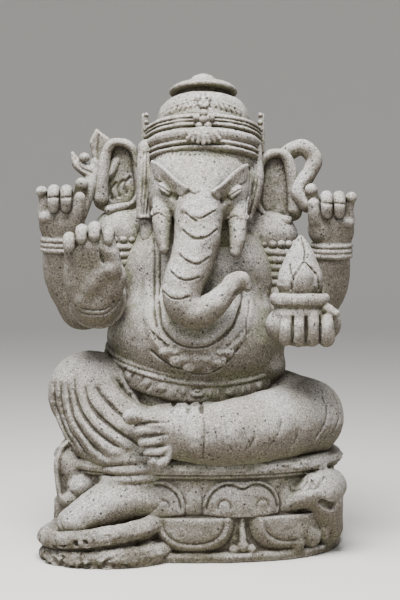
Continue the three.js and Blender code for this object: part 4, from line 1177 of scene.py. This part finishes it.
# Beads up the crests, and the flower: a boss among round petals.
for side, name in ((-1, "right_crest_beads"), (1, "left_crest_beads")):
    x = CROWN_AT[0] + side * 97
    beads(name, [(x, -4, 667), (x, -4, 728)], 11.4, 5, 33 + side, crown)
FLOWER_Z = 24
FLOWER_RADIUS = 11.5
petals = []
for a in np.linspace(0, 2 * math.pi, 31):
    petals.append(crown_spot(FLOWER_RADIUS * math.sin(a), -98, FLOWER_Z + FLOWER_RADIUS * math.cos(a)))
beads("flower_petals", petals, 13.8, 7, 36, crown)
boss = [crown_spot(0, -101, FLOWER_Z), crown_spot(0, -101, FLOWER_Z + 0.5)]
beads("flower_boss", boss, 5, 6.5, 37, crown)

# Weather on the whole stone: how sheltered each spot is from the open, from all the pieces together, so that
# green growth, and dirt with painted shade, gather under overhangs and where parts meet.
COARSE = 4.0
low = np.array([-300.0, -252.0, -28.0])
counts = np.array([150, 124, 216])
filled = np.zeros(counts, np.float32)
filled[:, :, : int(-low[2] / COARSE)] = 1
centres = [low[k] + COARSE * np.arange(counts[k]) for k in range(3)]
for block in blocks:
    top = block.low + block.grain * (block.steps - 1)
    spans = tuple(slice(*np.searchsorted(centres[k], (block.low[k], top[k]))) for k in range(3))
    picks = [np.rint((centres[k][spans[k]] - block.low[k]) / block.grain).astype(int) for k in range(3)]
    filled[spans] = np.maximum(filled[spans], block.field[np.ix_(*picks)] < 0)
NEAR_LOOK = 8  # how far off the surface in mm the stone close by is felt, and that further off
WIDE_LOOK = 20
near = blurred(blurred(filled, 2), 3)
wide = blurred(blurred(filled, 6), 7)
for piece, spots in shown_pieces:
    normals = np.zeros(len(spots) * 3, np.float32)
    piece.data.vertices.foreach_get("normal", normals)
    normals = normals.reshape(-1, 3)
    shade = sampled(near, low, COARSE, spots + normals * NEAR_LOOK)
    shade = shade + sampled(wide, low, COARSE, spots + normals * WIDE_LOOK)
    note(piece.data, "shelter", shade)
    # How far each spot faces down, which the material darkens as painted shade.
    note(piece.data, "under", -normals[:, 2])

# The studio: a plain pale floor that sweeps up all round the figure, one broad soft light above it
# and a weak one from the front, in a pale surround. The camera looks down a little, from the front.
INNER_RADIUS = 1.5  # metres, as all sizes of the studio are
FLOOR_RADIUS = 5.0
SWEEP = 3.0
SIDES = 72
bend = [math.radians(a) for a in range(0, 91, 9)]
rings = [(INNER_RADIUS, 0)] + [(FLOOR_RADIUS + SWEEP * math.sin(a), SWEEP * (1 - math.cos(a))) for a in bend]
turns = [2 * math.pi * n / SIDES for n in range(SIDES)]
corners = [(r * math.cos(a), r * math.sin(a), z) for r, z in rings for a in turns]
faces = [tuple(range(SIDES))]
for n in range(len(rings) - 1):
    for k in range(SIDES):
        next_k = (k + 1) % SIDES
        faces.append((n * SIDES + k, (n + 1) * SIDES + k, (n + 1) * SIDES + next_k, n * SIDES + next_k))
floor_mesh = bpy.data.meshes.new("studio_floor")
floor_mesh.from_pydata(corners, [], faces)
floor_mesh.shade_smooth()
floor = bpy.data.objects.new("studio_floor", floor_mesh)
bpy.context.scene.collection.objects.link(floor)
floor_paint = bpy.data.materials.new("pale_studio_floor")
floor_paint.use_nodes = True
floor_shader = floor_paint.node_tree.nodes["Principled BSDF"]
floor_shader.inputs["Base Color"].default_value = linear("#e6e4e0")
floor_shader.inputs["Roughness"].default_value = 0.8
floor_mesh.materials.append(floor_paint)


def soft_light(name, at, aim, size, power):
    """A square area light of a size in metres at a place, turned to a spot."""
    lamp = bpy.data.lights.new(name, "AREA")
    lamp.size = size
    lamp.energy = power
    light = bpy.data.objects.new(name, lamp)
    light.location = at
    light.rotation_euler = (Vector(aim) - Vector(at)).to_track_quat("-Z", "Y").to_euler()
    bpy.context.scene.collection.objects.link(light)


FIGURE_MIDDLE = (0, 0, 0.4)
soft_light("sky_softbox", (-0.25, -0.95, 2.35), FIGURE_MIDDLE, 1.3, 150)
soft_light("front_fill", (-1.2, -2.8, 1.3), FIGURE_MIDDLE, 1.8, 8)
world = bpy.data.worlds.new("overcast_studio")
bpy.context.scene.world = world
world.use_nodes = True
world.node_tree.nodes["Background"].inputs["Color"].default_value = linear("#f4f4f4")
world.node_tree.nodes["Background"].inputs["Strength"].default_value = 0.36

CAMERA_AT = (0, -2.5, 0.55)
CAMERA_PITCH = 3.12  # degrees down
FOCAL_PIXELS = 1463
IMAGE_HEIGHT = 600
FRAME_CENTRE_OFF = 2  # pixels that the lens axis lies left of the middle of the photo
camera_data = bpy.data.cameras.new("camera")
camera_data.sensor_fit = "VERTICAL"
camera_data.sensor_height = 24
camera_data.lens = FOCAL_PIXELS / IMAGE_HEIGHT * camera_data.sensor_height
camera = bpy.data.objects.new("camera", camera_data)
camera.location = CAMERA_AT
turn = -math.atan(FRAME_CENTRE_OFF / FOCAL_PIXELS)
camera.rotation_euler = (math.radians(90 - CAMERA_PITCH), 0, turn)
bpy.context.scene.collection.objects.link(camera)
bpy.context.scene.camera = camera
